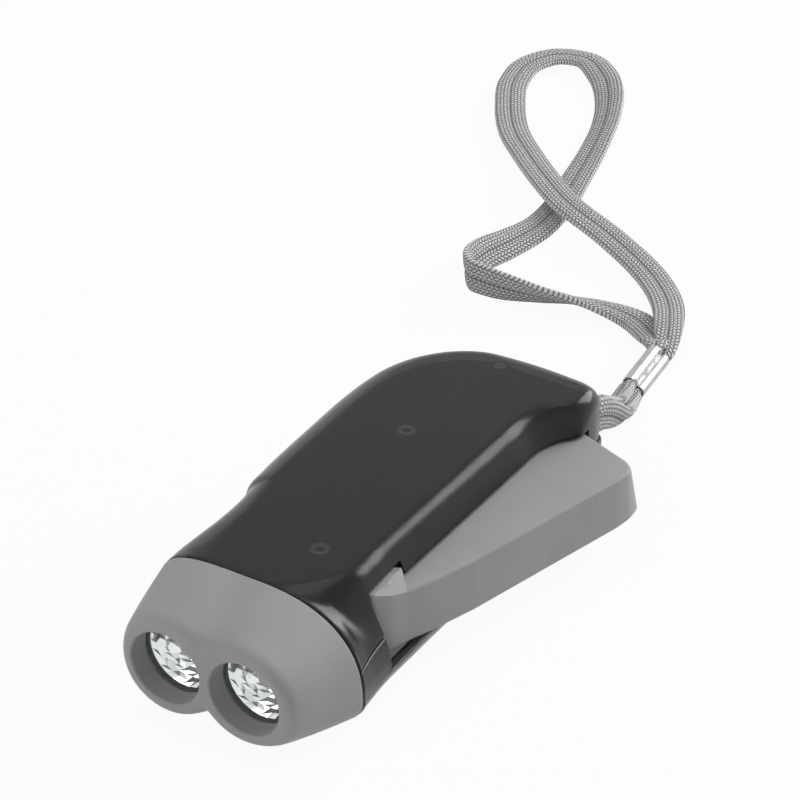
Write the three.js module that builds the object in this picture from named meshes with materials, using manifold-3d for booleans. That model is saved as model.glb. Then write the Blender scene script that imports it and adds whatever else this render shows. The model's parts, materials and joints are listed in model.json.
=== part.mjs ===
// Squeeze-lever dynamo torch with two lamps and a wrist strap, in millimetres, +Z up.
// Places are measured from the nose: X across from its middle, with the lever on +X,
// Y back from its front plane, and Z up from the flat underside. The finished torch is
// then moved so that its origin lies on the underside, originFromNose behind the front.
import * as THREE from 'three';
import { mergeVertices } from 'three/addons/utils/BufferGeometryUtils.js';
import Module from 'manifold-3d';

const wasm = await Module();
wasm.setup();

// Overall size
const originFromNose = 60;
const noseLength = 16.8;
const bodyLength = 91.6;
const bodyHeight = 24;
const palmReach = 23.6;
const leverReach = 21.9;
const wall = 1.8;

// Clearances and cutting
const gap = 0.3;
const slideGap = 0.5;
const overrun = 2;
const weld = 0.0005;

// Nose with two barrels
const boreRadius = 7.2;
const barrelWall = 2.3;
const lampWeb = 1.1;
const barrelRadius = boreRadius + barrelWall;
const lampSpread = boreRadius + lampWeb;
const rimRound = 1;
const frontWall = 4.2;
const waistAbove = 8;
const waistBelow = 6;
const cellRadius = 8.1;
const noseLipInset = 2;

// Lamps behind the windows
const lensThick = 1.2;
const reflectorDepth = 7.3;
const reflectorWall = 0.7;
const reflectorMouth = 7.2;
const lampRadius = 2.5;
const lampFlange = 2.9;
const lampFlangeThick = 1;
const lampLength = 8.6;
const legRadius = 0.3;
const legSpread = 1.27;
const boardWidth = 28;
const boardFront = 15;
const boardThick = 1.2;
const capacitorRadius = 2.6;
const capacitorLength = 6;
const diodeRadius = 0.8;
const diodeLength = 2.6;
const diodeStep = 4;

// Lever, its pin and its spring
const leverPlate = 1.5;
const stopThick = 0.8;
const stopLength = 3;
const pinBossRadius = 2.2;
const hubRadius = 4.4;
const pinRadius = 1;
const springWire = 0.35;
const springRadius = 3;
const springTurns = 3;
const springSteps = 8;
const springLeg = 5.5;

// Gear train: module, widths and levels
const toothOut = 0.56;
const toothIn = 0.8;
const shaftRadius = 1;
const hubOfGear = 2.9;
const collarOfGear = 1.9;
const stubOfGear = 1.8;
const sectorTeeth = 90;
const sectorBehind = 4;
const sectorAhead = 1;
const sectorBand = 2.6;
const pinionOneTeeth = 10;
const wheelOneTeeth = 28;
const pinionTwoTeeth = 8;
const wheelTwoTeeth = 24;
const pinionThreeTeeth = 8;
const gearOneAngle = 109.5;
const gearTwoAngle = 251.9;
const rotorAngle = 272.2;

// Generator
const flywheelDish = 1.4;
const flywheelRim = 1.8;
const magnetHub = 2.3;
const bobbinWall = 0.8;

// Bearing plate, posts and screws
const plateArm = 3.1;
const postRadius = 1.9;
const bossRadius = 2.5;
const screwRadius = 0.9;
const screwHead = 1.7;
const screwHeadThick = 0.7;
const screwLength = 5;
const shellScrewRadius = 1.1;
const shellScrewHead = 2.1;
const shellScrewHeadThick = 1.4;

// Cells, switch, wires
const cellGroove = 0.5;
const cradleWall = 0.9;
const cradleHeight = 2.2;
const cellCount = 3;
const clipThick = 0.4;
const clipWidth = 5;
const switchLength = 9;
const switchDepth = 4.6;
const switchShelf = 2;
const knobTravel = 2.5;
const knobLength = 6.4;
const knobThick = 1.5;
const knobStem = 2;
const wireRadius = 0.5;

// Strap, its bar and its ferrule
const strapWidth = 7.5;
const strapThick = 1.9;
const bundleThick = 3.8;
const barRadius = 1.2;
const slotWide = 5.6;
const ferruleSpread = 1.5;
const ferruleBore = 1.4;
const ferruleLobe = 1.9;
const ferruleTilt = 40;

// How round shapes are divided
const roundSegments = 24;
const smallSegments = 12;
const fineSegments = 96;
const tubeSteps = 3;
const legSides = 6;
const loopSteps = 72;
const cornerSteps = 5;
const innerCornerSteps = 3;

const quarterTurn = Math.PI / 2;
const fullTurn = Math.PI * 2;
const seamY = noseLength + gap;
const tailY = seamY + bodyLength;
const half = 0.5;
const partingZ = bodyHeight * half;

// Levels inside the body, each a share of the room between its floor and its ceiling
const room = bodyHeight - wall - wall;
const levelShares = {
  lever: [0.2059, 0.7451],
  hubTop: 0.8676,
  stopTop: 0.8431,
  spring: 0.0343,
  pinionOne: [0.3529, 0.5931],
  gearTop: 0.8725,
  sector: [0.3775, 0.5735],
  wheelOne: [0.7745, 0.8627],
  wheelTwo: [0.6176, 0.7059],
  pinionTwo: 0.7549,
  pinionThree: [0.5686, 0.7402],
  flywheel: [0.3824, 0.5686],
  magnet: [0.1422, 0.3676],
  core: [0.1667, 0.3431],
  plate: [0.8873, 0.9314],
  shellScrewTop: 0.6324,
  strapSlot: [0.3824, 0.8235],
};
const level = (share) => wall + room * share;
const [leverBottom, leverTop] = levelShares.lever.map(level);
const hubTop = level(levelShares.hubTop);
const stopTop = level(levelShares.stopTop);
const springBottom = level(levelShares.spring);
const [pinionOneBottom, pinionOneTop] = levelShares.pinionOne.map(level);
const gearTop = level(levelShares.gearTop);
const [sectorBottom, sectorTop] = levelShares.sector.map(level);
const [wheelOneBottom, wheelOneTop] = levelShares.wheelOne.map(level);
const [wheelTwoBottom, wheelTwoTop] = levelShares.wheelTwo.map(level);
const pinionTwoBottom = level(levelShares.pinionTwo);
const [pinionThreeBottom, pinionThreeTop] = levelShares.pinionThree.map(level);
const [flywheelBottom, flywheelTop] = levelShares.flywheel.map(level);
const [magnetBottom, magnetTop] = levelShares.magnet.map(level);
const [coreBottom, coreTop] = levelShares.core.map(level);
const [plateBottom, plateTop] = levelShares.plate.map(level);
const shellScrewTop = level(levelShares.shellScrewTop);
const [strapSlotBottom, strapSlotTop] = levelShares.strapSlot.map(level);
const coilReachShare = 0.923;
const boardHeightShare = 0.6373;
const switchHeightShare = 0.2745;
const knobHeightShare = 0.2255;
const boardHeight = room * boardHeightShare;
const switchHeight = room * switchHeightShare;
const knobHeight = room * knobHeightShare;
const cellStackShare = 0.7059;

// Plan of the mechanism: the lever follows the body, and the gears fit its length and width
const pivotAcrossShare = 0.5571;
const pivotBackShare = 0.1736;
const leverLengthShare = 0.8719;
const leverOutShare = 0.9772;
const moduleLengthShare = 0.008734;
const moduleWidthShare = 0.017582;
const pivotX = leverReach * pivotAcrossShare;
const pivotY = seamY + bodyLength * pivotBackShare;
const leverLength = (tailY - pivotY) * leverLengthShare;
const leverOut = leverReach * leverOutShare;
const gearModule = Math.min(bodyLength * moduleLengthShare, (palmReach + leverReach) * moduleWidthShare);

// Generator sizes as shares of the gears' module
const generatorShares = {
  flywheelRadius: 12.5, magnetRadius: 8, poleGap: 0.75, poleRadius: 11.625, limbThick: 4.125,
  limbBack: 17.375, armInner: 7.125, poleSlot: 2.5, coilLength: 12.5, cellPackRadius: 9.6875,
};
const flywheelRadius = gearModule * generatorShares.flywheelRadius;
const magnetRadius = gearModule * generatorShares.magnetRadius;
const poleGap = gearModule * generatorShares.poleGap;
const poleRadius = gearModule * generatorShares.poleRadius;
const limbThick = gearModule * generatorShares.limbThick;
const limbBack = gearModule * generatorShares.limbBack;
const armInner = gearModule * generatorShares.armInner;
const poleSlot = gearModule * generatorShares.poleSlot;
const coilLength = gearModule * generatorShares.coilLength;
const cellPackRadius = gearModule * generatorShares.cellPackRadius;

// Strap anchor and switch places as shares of the body
const barAcrossShare = 0.6986;
const barBackShare = 0.95524;
const switchBackShare = 0.1408;
const barX = leverReach * barAcrossShare;
const switchMiddleY = seamY + bodyLength * switchBackShare;
const halfTurnDegrees = 180;

// Finishes
function finish(color, roughness, metalness) {
  return { color, roughness, metalness };
}
const finishes = {
  smoky: finish(0x2e2e2e, 0.25, 0),
  grey: finish(0x8f8f8f, 0.5, 0),
  clear: finish(0xe8eef2, 0.1, 0),
  bright: finish(0xe6e6e6, 0.15, 1),
  steel: finish(0xb5b5b8, 0.3, 1),
  nylon: finish(0xe6e2d6, 0.5, 0),
  dark: finish(0x2a2a2c, 0.5, 0),
  iron: finish(0x55565a, 0.5, 0.8),
  copper: finish(0xb06a3a, 0.35, 1),
  green: finish(0x2f6b45, 0.5, 0),
  red: finish(0xa02c24, 0.5, 0),
  braid: finish(0xb4b4b4, 0.9, 0),
};

const torch = new THREE.Group();

// Join and cut with closed meshes
function weldedGeometry(geometry) {
  const plain = geometry.clone();
  plain.deleteAttribute('normal');
  plain.deleteAttribute('uv');
  return mergeVertices(plain, weld);
}

function signedVolume(places, corners) {
  const corner = (index) => new THREE.Vector3().fromArray(places, corners[index] * 3);
  let sum = 0;
  for (let i = 0; i < corners.length; i += 3) sum += corner(i).dot(corner(i + 1).cross(corner(i + 2)));
  return sum;
}

function solidOf(geometry) {
  const welded = weldedGeometry(geometry);
  const corners = welded.index.array;
  const kept = [];
  for (let i = 0; i < corners.length; i += 3) {
    const [a, b, c] = corners.slice(i, i + 3);
    if (a !== b && b !== c && c !== a) kept.push(a, b, c);
  }
  const vertProperties = new Float32Array(welded.attributes.position.array);
  const facesOut = signedVolume(vertProperties, kept) > 0;
  const triVerts = new Uint32Array(facesOut ? kept : kept.reverse());
  return new wasm.Manifold(new wasm.Mesh({ numProp: 3, vertProperties, triVerts }));
}

function geometryOf(solid) {
  const { vertProperties, triVerts } = solid.getMesh();
  const geometry = new THREE.BufferGeometry();
  geometry.setAttribute('position', new THREE.BufferAttribute(new Float32Array(vertProperties), 3));
  geometry.setIndex(new THREE.BufferAttribute(new Uint32Array(triVerts), 1));
  geometry.computeVertexNormals();
  return geometry;
}

function joined(...geometries) {
  return geometries.map(solidOf).reduce((sum, next) => sum.add(next));
}

function addPiece(name, shape, finishName, place) {
  const geometry = shape.isBufferGeometry ? shape : geometryOf(shape);
  const mesh = new THREE.Mesh(geometry, new THREE.MeshStandardMaterial(finishes[finishName]));
  mesh.name = name;
  if (place) mesh.position.copy(place);
  torch.add(mesh);
  return mesh;
}

// Simple closed shapes
function prism(shape, bottom, top, segments = tubeSteps) {
  const options = { depth: top - bottom, bevelEnabled: false, curveSegments: segments };
  return new THREE.ExtrudeGeometry(shape, options).translate(0, 0, bottom);
}

function outlineShape(points) {
  return new THREE.Shape(points.map(([x, y]) => new THREE.Vector2(x, y)));
}

function post(x, y, radius, bottom, top, segments = smallSegments) {
  const height = top - bottom;
  const geometry = new THREE.CylinderGeometry(radius, radius, height, segments);
  return geometry.rotateX(quarterTurn).translate(x, y, bottom + height * half);
}

function block(x0, x1, y0, y1, z0, z1) {
  const geometry = new THREE.BoxGeometry(x1 - x0, y1 - y0, z1 - z0);
  return geometry.translate((x0 + x1) * half, (y0 + y1) * half, (z0 + z1) * half);
}

function barrel(x, z, radius, front, back, segments = roundSegments) {
  const length = back - front;
  const geometry = new THREE.CylinderGeometry(radius, radius, length, segments);
  return geometry.translate(x, front + length * half, z);
}

function turned(profile, segments = roundSegments) {
  return new THREE.LatheGeometry(profile.map(([r, y]) => new THREE.Vector2(r, y)), segments);
}

function capsuleShape(from, to, radius) {
  const angle = Math.atan2(to.y - from.y, to.x - from.x);
  const shape = new THREE.Shape();
  shape.absarc(to.x, to.y, radius, angle - quarterTurn, angle + quarterTurn);
  shape.absarc(from.x, from.y, radius, angle + quarterTurn, angle - quarterTurn + fullTurn);
  return shape;
}

function tube(points, radius, steps, sides = tubeSteps) {
  const section = new THREE.Shape().absarc(0, 0, radius, 0, fullTurn);
  const path = new THREE.CatmullRomCurve3(points.map((p) => new THREE.Vector3(...p)));
  const options = { steps, bevelEnabled: false, extrudePath: path, curveSegments: sides };
  return new THREE.ExtrudeGeometry(section, options);
}

// A closed skin over rings of equal length, each a closed curve; the ends are capped
function skin(rings, capEnd) {
  const count = rings[0].length;
  const positions = rings.flat().flatMap((p) => [p.x, p.y, p.z]);
  const faces = [];
  for (let i = 0; i + 1 < rings.length; i += 1) {
    for (let j = 0; j < count; j += 1) {
      const a = i * count + j;
      const b = i * count + ((j + 1) % count);
      faces.push(a, b, a + count, b, b + count, a + count);
    }
  }
  const capRing = (index, flip) => {
    const middle = rings[index].reduce((sum, p) => sum.add(p), new THREE.Vector3());
    middle.divideScalar(count);
    positions.push(middle.x, middle.y, middle.z);
    const centre = positions.length / 3 - 1;
    for (let j = 0; j < count; j += 1) {
      const a = index * count + j;
      const b = index * count + ((j + 1) % count);
      if (flip) faces.push(centre, a, b);
      else faces.push(centre, b, a);
    }
  };
  capRing(0, false);
  if (capEnd) capRing(rings.length - 1, true);
  const geometry = new THREE.BufferGeometry();
  geometry.setAttribute('position', new THREE.Float32BufferAttribute(positions, 3));
  geometry.setIndex(faces);
  return geometry;
}

// Body: stations from the nose seam to the tail. Each row gives, as shares of bodyLength
// and of the reaches, the palm side's place, the lever side's place, and then the width
// and depth of the top corner on the palm side and on the lever side.
const bodyStationShares = [
  [0, 0.89, 0, 1, 1, 0.48, 1, 0.74],
  [0.043, 0.894, 0.04, 0.978, 0.7, 0.42, 0.8, 0.73],
  [0.097, 0.869, 0.08, 0.959, 0.48, 0.34, 0.55, 0.72],
  [0.152, 0.839, 0.12, 0.941, 0.34, 0.28, 0.4, 0.72],
  [0.202, 0.831, 0.16, 0.932, 0.3, 0.25, 0.38, 0.74],
  [0.25, 0.847, 0.215, 0.927, 0.28, 0.25, 0.39, 0.75],
  [0.275, 0.864, 0.27, 0.923, 0.28, 0.25, 0.39, 0.75],
  [0.293, 0.907, 0.33, 0.922, 0.28, 0.25, 0.39, 0.75],
  [0.337, 0.932, 0.4, 0.922, 0.28, 0.25, 0.39, 0.75],
  [0.436, 0.962, 0.48, 0.922, 0.28, 0.25, 0.39, 0.75],
  [0.545, 0.983, 0.58, 0.922, 0.28, 0.25, 0.39, 0.75],
  [0.654, 1, 0.69, 0.922, 0.28, 0.25, 0.39, 0.75],
  [0.741, 0.987, 0.785, 0.922, 0.27, 0.25, 0.37, 0.72],
  [0.807, 0.945, 0.83, 0.922, 0.26, 0.25, 0.31, 0.62],
  [0.861, 0.856, 0.87, 0.922, 0.26, 0.24, 0.22, 0.45],
  [0.91, 0.72, 0.905, 0.922, 0.28, 0.23, 0.18, 0.3],
  [0.949, 0.559, 0.938, 0.92, 0.32, 0.22, 0.16, 0.22],
  [0.972, 0.42, 0.968, 0.905, 0.36, 0.21, 0.15, 0.2],
  [0.986, 0.27, 0.987, 0.862, 0.42, 0.2, 0.14, 0.2],
  [0.995, 0.09, 0.997, 0.77, 0.5, 0.2, 0.14, 0.2],
  [1, -0.148, 1, 0.16, 0.17, 0.2, 0.19, 0.2],
];
const tailMiddleShare = 0.16;
const tailStations = 7;
const seamPalmPower = 4;
const seamLeverPower = 2.4;
const chamferPower = 1.2;
const roundPower = 2;
const settledShare = 0.28;
const lowCornerShare = 0.24;
const lowWideShare = 0.4;

// Edge points of one side, with the direction that points into the body
function sideStations(side) {
  const reach = side < 0 ? palmReach : leverReach;
  const column = side < 0 ? 0 : 2;
  const points = bodyStationShares.map((row) => {
    const y = seamY + row[column] * bodyLength;
    return new THREE.Vector2(side * row[column + 1] * reach, y);
  });
  const last = points.length - 1;
  points[last].x = tailMiddleShare * leverReach;
  return points.map((edge, i) => {
    const before = points[Math.max(i - 1, 0)];
    const after = points[Math.min(i + 1, last)];
    const along = after.clone().sub(before).normalize();
    const inward = new THREE.Vector2(-side * along.y, side * along.x);
    if (i === 0) inward.set(-side, 0);
    if (i === last) inward.set(0, -1);
    return { edge, inward };
  });
}

// Corner curve from the side (share 0) to the flat (share 1): how far in, how far along
function cornerPoint(share, power) {
  const angle = share * quarterTurn;
  return [1 - Math.cos(angle) ** (2 / power), Math.sin(angle) ** (2 / power)];
}

// One side of a station: points from the top flat down to the bottom flat
function sideProfile(side, index, station, inset, steps) {
  const row = bodyStationShares[index];
  const column = side < 0 ? 4 : 6;
  const reach = side < 0 ? palmReach : leverReach;
  const halfWidth = Math.max(Math.abs(station.edge.x), reach * tailMiddleShare);
  const wide = Math.max(halfWidth * row[column] - inset, wall * half);
  const deep = Math.max(bodyHeight * row[column + 1] - inset, wall * half);
  const atSeam = side < 0 ? seamPalmPower : seamLeverPower;
  const away = side < 0 ? roundPower : chamferPower;
  const atTail = index >= bodyStationShares.length - tailStations;
  const settled = atTail ? roundPower : away;
  const seamPull = atTail ? 0 : Math.max((row[4] - settledShare) / (1 - settledShare), 0);
  const power = settled + (atSeam - settled) * seamPull;
  const lowWide = Math.max(halfWidth * Math.min(row[4], lowWideShare) - inset, wall * half);
  const lowDeep = Math.max(bodyHeight * lowCornerShare - inset, wall * half);
  const points = [];
  const add = (inwards, z) => {
    const at = station.edge.clone().addScaledVector(station.inward, inset + inwards);
    points.push(new THREE.Vector3(at.x, at.y, z));
  };
  for (let k = steps; k >= 0; k -= 1) {
    const [inShare, upShare] = cornerPoint(k / steps, power);
    add(wide * inShare, bodyHeight - inset - deep * (1 - upShare));
  }
  for (let k = 0; k <= steps; k += 1) {
    const [inShare, downShare] = cornerPoint(k / steps, roundPower);
    add(lowWide * inShare, inset + lowDeep * (1 - downShare));
  }
  return points;
}

// Closed ring of a station: over the top, down the lever side, back up the palm side
function bodyRing(index, inset, steps = cornerSteps) {
  const right = sideProfile(1, index, leverSide[index], inset, steps);
  const left = sideProfile(-1, index, palmSide[index], inset, steps).reverse();
  return [...right, ...left];
}

const palmSide = sideStations(-1);
const leverSide = sideStations(1);

function bodySkin(inset, forward) {
  const steps = inset > 0 ? innerCornerSteps : cornerSteps;
  const rings = bodyStationShares.map((row, index) => bodyRing(index, inset, steps));
  if (forward) rings.unshift(rings[0].map((p) => p.clone().setY(p.y - forward)));
  return skin(rings, false);
}

// Places worked out from the sizes above
const pivot = new THREE.Vector2(pivotX, pivotY);

function stepFrom(from, distance, degrees) {
  const angle = THREE.MathUtils.degToRad(degrees);
  return new THREE.Vector2(Math.cos(angle), Math.sin(angle)).multiplyScalar(distance).add(from);
}

function centreDistance(teethA, teethB) {
  return gearModule * (teethA + teethB) * half;
}

const gearOne = stepFrom(pivot, centreDistance(sectorTeeth, pinionOneTeeth), gearOneAngle);
const gearTwo = stepFrom(gearOne, centreDistance(wheelOneTeeth, pinionTwoTeeth), gearTwoAngle);
const rotor = stepFrom(gearTwo, centreDistance(wheelTwoTeeth, pinionThreeTeeth), rotorAngle);
const shaftHole = shaftRadius + gap;
const ceiling = bodyHeight - wall;
const slotBottom = leverBottom - slideGap;
const slotTop = leverTop + slideGap;
const cheekY = pivotY - hubRadius - gap;
const slotReach = leverLength + slideGap + gap;

// Two screw posts and a locating peg hold the bearing plate
const pegPlace = new THREE.Vector2(rotor.x - flywheelRadius - postRadius - slideGap, rotor.y + wall + gap);
const postPlaces = [
  new THREE.Vector2(gearOne.x - centreDistance(wheelOneTeeth, pinionTwoTeeth), gearOne.y + wall),
  new THREE.Vector2(pivot.x - hubRadius - gap - slideGap, pivot.y + hubRadius + bossRadius + slideGap),
];

// Shell screws, strap bar, cells and switch
const palmScrewShare = 0.66;
const leverScrewShare = 0.7;
const tailScrewShare = 0.07;
const frontScrewY = seamY + bossRadius + wall;
const screwPlaces = [
  new THREE.Vector2(-palmReach * palmScrewShare, frontScrewY),
  new THREE.Vector2(leverReach * leverScrewShare, frontScrewY),
  new THREE.Vector2(-palmReach * tailScrewShare, tailY - wall - bossRadius - bossRadius),
];
const bar = new THREE.Vector2(barX, seamY + bodyLength * barBackShare);
const cellAcrossShare = 0.45;
const cellBackShare = 0.77;
const cells = new THREE.Vector2(-palmReach * cellAcrossShare, seamY + bodyLength * cellBackShare);
const cellHeight = room * cellStackShare;
const cellThick = cellHeight / cellCount;
const switchInnerShare = 0.735;
const switchInner = -palmReach * switchInnerShare;
const knobRestY = switchMiddleY - knobTravel * half;
const coreThick = coreTop - coreBottom;
const coreZ = coreBottom + coreThick * half;

function cutHoles(solid, places, radius, bottom, top) {
  return places.reduce((left, p) => left.subtract(solidOf(post(p.x, p.y, radius, bottom, top))), solid);
}

function leverSlot() {
  const sweep = solidOf(post(pivot.x, pivot.y, slotReach, slotBottom, slotTop, fineSegments));
  const side = solidOf(block(0, leverReach + overrun, cheekY, tailY, slotBottom, slotTop));
  const hubEnd = pivot.y + hubRadius + overrun + slideGap;
  const hub = block(pivot.x - hubRadius, leverReach + overrun, cheekY, hubEnd, slotBottom, hubTop + gap);
  return sweep.intersect(side).add(solidOf(hub));
}

function strapSlot() {
  const x0 = bar.x - slotWide * half;
  const y0 = bar.y + barRadius;
  return solidOf(block(x0, x0 + slotWide, y0, tailY + overrun, strapSlotBottom, strapSlotTop));
}

function switchSlot() {
  const x1 = switchInner + gap;
  const reach = (knobStem + knobTravel) * half + gap;
  const halfHigh = knobStem * half + gap;
  const middleY = switchMiddleY;
  return solidOf(block(-palmReach - overrun, x1, middleY - reach, middleY + reach,
    partingZ - halfHigh, partingZ + halfHigh));
}

const bodyOuter = solidOf(bodySkin(0, 0));
const bodyInner = solidOf(bodySkin(wall, overrun));
const bodyWalls = bodyOuter.subtract(bodyInner).subtract(leverSlot());

function halfOfBody(fromZ, toZ) {
  const reach = palmReach + overrun;
  return solidOf(block(-reach, reach, seamY - overrun, tailY + overrun, fromZ, toZ));
}

function bottomShell() {
  const stand = (p, radius, top) => post(p.x, p.y, radius, wall * half, top);
  const under = partingZ - gap * half;
  const limbX = (armInner + poleRadius) * half;
  const ribHalf = (poleRadius - armInner) * half;
  const limbFront = rotor.y - limbBack - limbThick;
  const rib = (x) => block(x - ribHalf, x + ribHalf, limbFront, limbFront + limbThick,
    wall * half, coreBottom - gap);
  const shelfTop = partingZ - switchHeight * half - gap;
  const bosses = joined(
    stand(pivot, pinBossRadius, slotBottom),
    stand(gearOne, bossRadius, pinionOneBottom - gap),
    stand(gearTwo, bossRadius, pinionOneBottom - gap),
    stand(rotor, bossRadius, magnetBottom - gap - gap),
    post(bar.x, bar.y, pinBossRadius, wall - gap, strapSlotBottom - gap),
    stand(pegPlace, postRadius, plateBottom - gap),
    stand(pegPlace, screwRadius, plateTop),
    ...postPlaces.map((p) => stand(p, postRadius, plateBottom - gap)),
    ...screwPlaces.map((p) => stand(p, bossRadius, under)),
    rib(rotor.x - limbX),
    rib(rotor.x + limbX),
    block(switchInner - wall * half, switchInner + switchShelf * half, switchMiddleY - switchShelf,
      switchMiddleY + switchShelf, wall * half, shelfTop),
  );
  const cradleRadius = cellPackRadius + gap + cradleWall;
  const cradle = solidOf(post(cells.x, cells.y, cradleRadius, wall * half, wall + cradleHeight, roundSegments))
    .subtract(solidOf(post(cells.x, cells.y, cellPackRadius + gap, wall, bodyHeight, roundSegments)));
  const lower = bodyWalls.intersect(halfOfBody(-overrun, under));
  const grown = lower.add(bosses.add(cradle).intersect(bodyOuter));
  const pins = cutHoles(grown, [gearOne, gearTwo, rotor], shaftHole, wall, bodyHeight);
  const bars = cutHoles(pins, [pivot], pinRadius + gap, wall, bodyHeight);
  const anchor = cutHoles(bars, [bar], barRadius + gap, wall, bodyHeight);
  const screwed = cutHoles(anchor, postPlaces, screwRadius + gap, plateBottom - screwLength, bodyHeight);
  const headRoom = shellScrewHeadThick + gap + gap;
  const sunk = cutHoles(screwed, screwPlaces, shellScrewHead + gap, -overrun, headRoom);
  return cutHoles(sunk, screwPlaces, shellScrewRadius + gap, 0, bodyHeight)
    .subtract(strapSlot()).subtract(switchSlot());
}

function topShell() {
  const over = partingZ + gap * half;
  const roof = bodyHeight - wall * half;
  const hang = (p, radius, bottom) => post(p.x, p.y, radius, bottom, roof);
  const bosses = joined(
    hang(pivot, pinBossRadius, hubTop + gap),
    hang(bar, pinBossRadius, strapSlotTop + gap),
    ...screwPlaces.map((p) => hang(p, bossRadius, over)),
  );
  const upper = bodyWalls.intersect(halfOfBody(over, bodyHeight + overrun));
  const grown = upper.add(bosses.intersect(bodyOuter));
  const pinned = cutHoles(grown, [pivot], pinRadius + gap, 0, pinTop + gap);
  const anchored = cutHoles(pinned, [bar], barRadius + gap, 0, ceiling);
  return cutHoles(anchored, screwPlaces, shellScrewRadius + gap, 0, shellScrewTop + gap)
    .subtract(strapSlot()).subtract(switchSlot());
}

// Nose: its rings run from the figure of eight at the front to the body's section
const noseStationShares = [0, 0.018, 0.06, 0.2, 0.36, 0.55, 0.77, 1];
const noseSwellPower = 0.8;
const noseSteps = 7;

function figureEight(angle) {
  const across = Math.cos(angle);
  const up = Math.sin(angle);
  const bareWaist = Math.sqrt(barrelRadius ** 2 - lampSpread ** 2);
  const lift = (up > 0 ? waistAbove : waistBelow) - bareWaist;
  const spread = Math.hypot(lampSpread * across, lift * up * up);
  return spread + Math.sqrt(barrelRadius ** 2 - (lampSpread * up) ** 2);
}

function noseRing(share, inset) {
  const y = noseLength * share;
  const blend = share ** noseSwellPower;
  const rounding = Math.max(rimRound - y, 0);
  const pulled = inset + rimRound - Math.sqrt(rimRound ** 2 - rounding ** 2);
  return bodyRing(0, 0, noseSteps).map((p) => {
    const angle = Math.atan2(p.z - partingZ, p.x);
    const seam = Math.hypot(p.x, p.z - partingZ);
    const radius = THREE.MathUtils.lerp(figureEight(angle), seam, blend) - pulled;
    return new THREE.Vector3(radius * Math.cos(angle), y, partingZ + radius * Math.sin(angle));
  });
}

function noseBezel() {
  const lipShare = (boardFront - gap) / noseLength;
  const cavity = [lipShare, 1].map((share) => noseRing(share, noseLipInset));
  cavity.push(cavity[1].map((p) => p.clone().setY(p.y + overrun)));
  const outer = solidOf(skin(noseStationShares.map((share) => noseRing(share, 0)), true));
  return [-lampSpread, lampSpread].reduce((left, x) => left
    .subtract(solidOf(barrel(x, partingZ, boreRadius, -overrun, frontWall + overrun)))
    .subtract(solidOf(barrel(x, partingZ, cellRadius, frontWall, noseLength + overrun))), outer)
    .subtract(solidOf(skin(cavity, true)));
}

// Lamps: each stands behind its window, at x = 0 until it is placed
const lensFront = frontWall + gap;
const reflectorFront = lensFront + lensThick + gap;
const lampBack = boardFront - gap;
const lampFront = lampBack - lampLength;
const lensRadius = cellRadius - gap;

function reflectorCup() {
  const rimOut = reflectorMouth + reflectorWall * half;
  const back = reflectorFront + reflectorDepth;
  const neck = lampRadius + gap;
  const bowlShares = [[1, 0], [0.9, 0.22], [0.7, 0.54], [0.4, 0.82], [0, 1]];
  const bowl = bowlShares.map(([out, deep]) => [
    neck + (reflectorMouth - neck) * out, reflectorFront + (reflectorDepth - reflectorWall) * deep,
  ]);
  const shellFront = reflectorFront + reflectorWall;
  const shell = bowlShares.map(([out, deep]) => [
    neck + reflectorWall + (rimOut - neck - reflectorWall) * out, shellFront + (reflectorDepth - reflectorWall) * deep,
  ]).reverse();
  const flange = [lensRadius, shellFront];
  const profile = [...bowl, [neck, back], ...shell, flange, [lensRadius, reflectorFront], bowl[0]];
  return turned(profile);
}

function lamp() {
  const domeShares = [[0, 0], [0.5, 0.13], [0.87, 0.5], [1, 1]];
  const dome = domeShares.map(([out, back]) => [lampRadius * out, lampFront + lampRadius * back]);
  const flangeY = lampBack - lampFlangeThick;
  const profile = [...dome, [lampRadius, flangeY], [lampFlange, flangeY], [lampFlange, lampBack], [0, lampBack]];
  const legEnd = boardFront + boardThick + gap;
  const leg = (x) => barrel(x, 0, legRadius, lampBack - lampFlangeThick * half, legEnd, legSides);
  return joined(turned(profile, smallSegments), leg(-legSpread), leg(legSpread));
}

function lampBoard() {
  const plate = solidOf(block(-boardWidth * half, boardWidth * half, boardFront, boardFront + boardThick,
    partingZ - boardHeight * half, partingZ + boardHeight * half));
  return [-lampSpread, lampSpread].flatMap((x) => [x - legSpread, x + legSpread])
    .reduce((left, x) => left.subtract(solidOf(
      barrel(x, partingZ, legRadius + gap, boardFront - overrun, boardFront + overrun, legSides))), plate);
}

const diodePlaceShares = [-1.5, -0.5, 0.5, 1.5];

function diode(share) {
  const y = boardFront + boardThick + gap + diodeRadius;
  const bottom = partingZ + boardHeight * half - wall - diodeLength;
  return solidOf(post(share * diodeStep, y, diodeRadius, bottom, bottom + diodeLength));
}

function capacitor() {
  const front = boardFront + boardThick + gap;
  return solidOf(barrel(0, partingZ - wall, capacitorRadius, front, front + capacitorLength));
}

// Lever: outline points from the pivot, as shares of leverLength and leverOut
const leverEdgeShares = [
  [-0.0667, 0], [-0.0667, 0.19], [-0.035, 0.332], [0.0485, 0.36], [0.136, 0.467], [0.268, 0.561],
  [0.826, 0.981], [0.871, 1], [0.905, 0.97], [0.927, 0.88], [0.9985, 0.29], [1, 0],
];
const leverPocketShares = [
  [0.16, -0.2], [0.16, 0.385], [0.268, 0.472], [0.826, 0.892], [0.868, 0.908],
  [0.892, 0.85], [0.966, 0.28], [0.97, -0.2],
];
const stopPlaceShare = 0.86;
const hubBlockShares = [[-0.0667, 0], [-0.0667, 0.19], [0.0106, 0.27], [0.097, 0.14], [0.06, 0]];

function leverOutline(shares) {
  return outlineShape(shares.map(([along, out]) => [
    pivot.x + leverOut * out, pivot.y + leverLength * along,
  ]));
}


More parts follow.
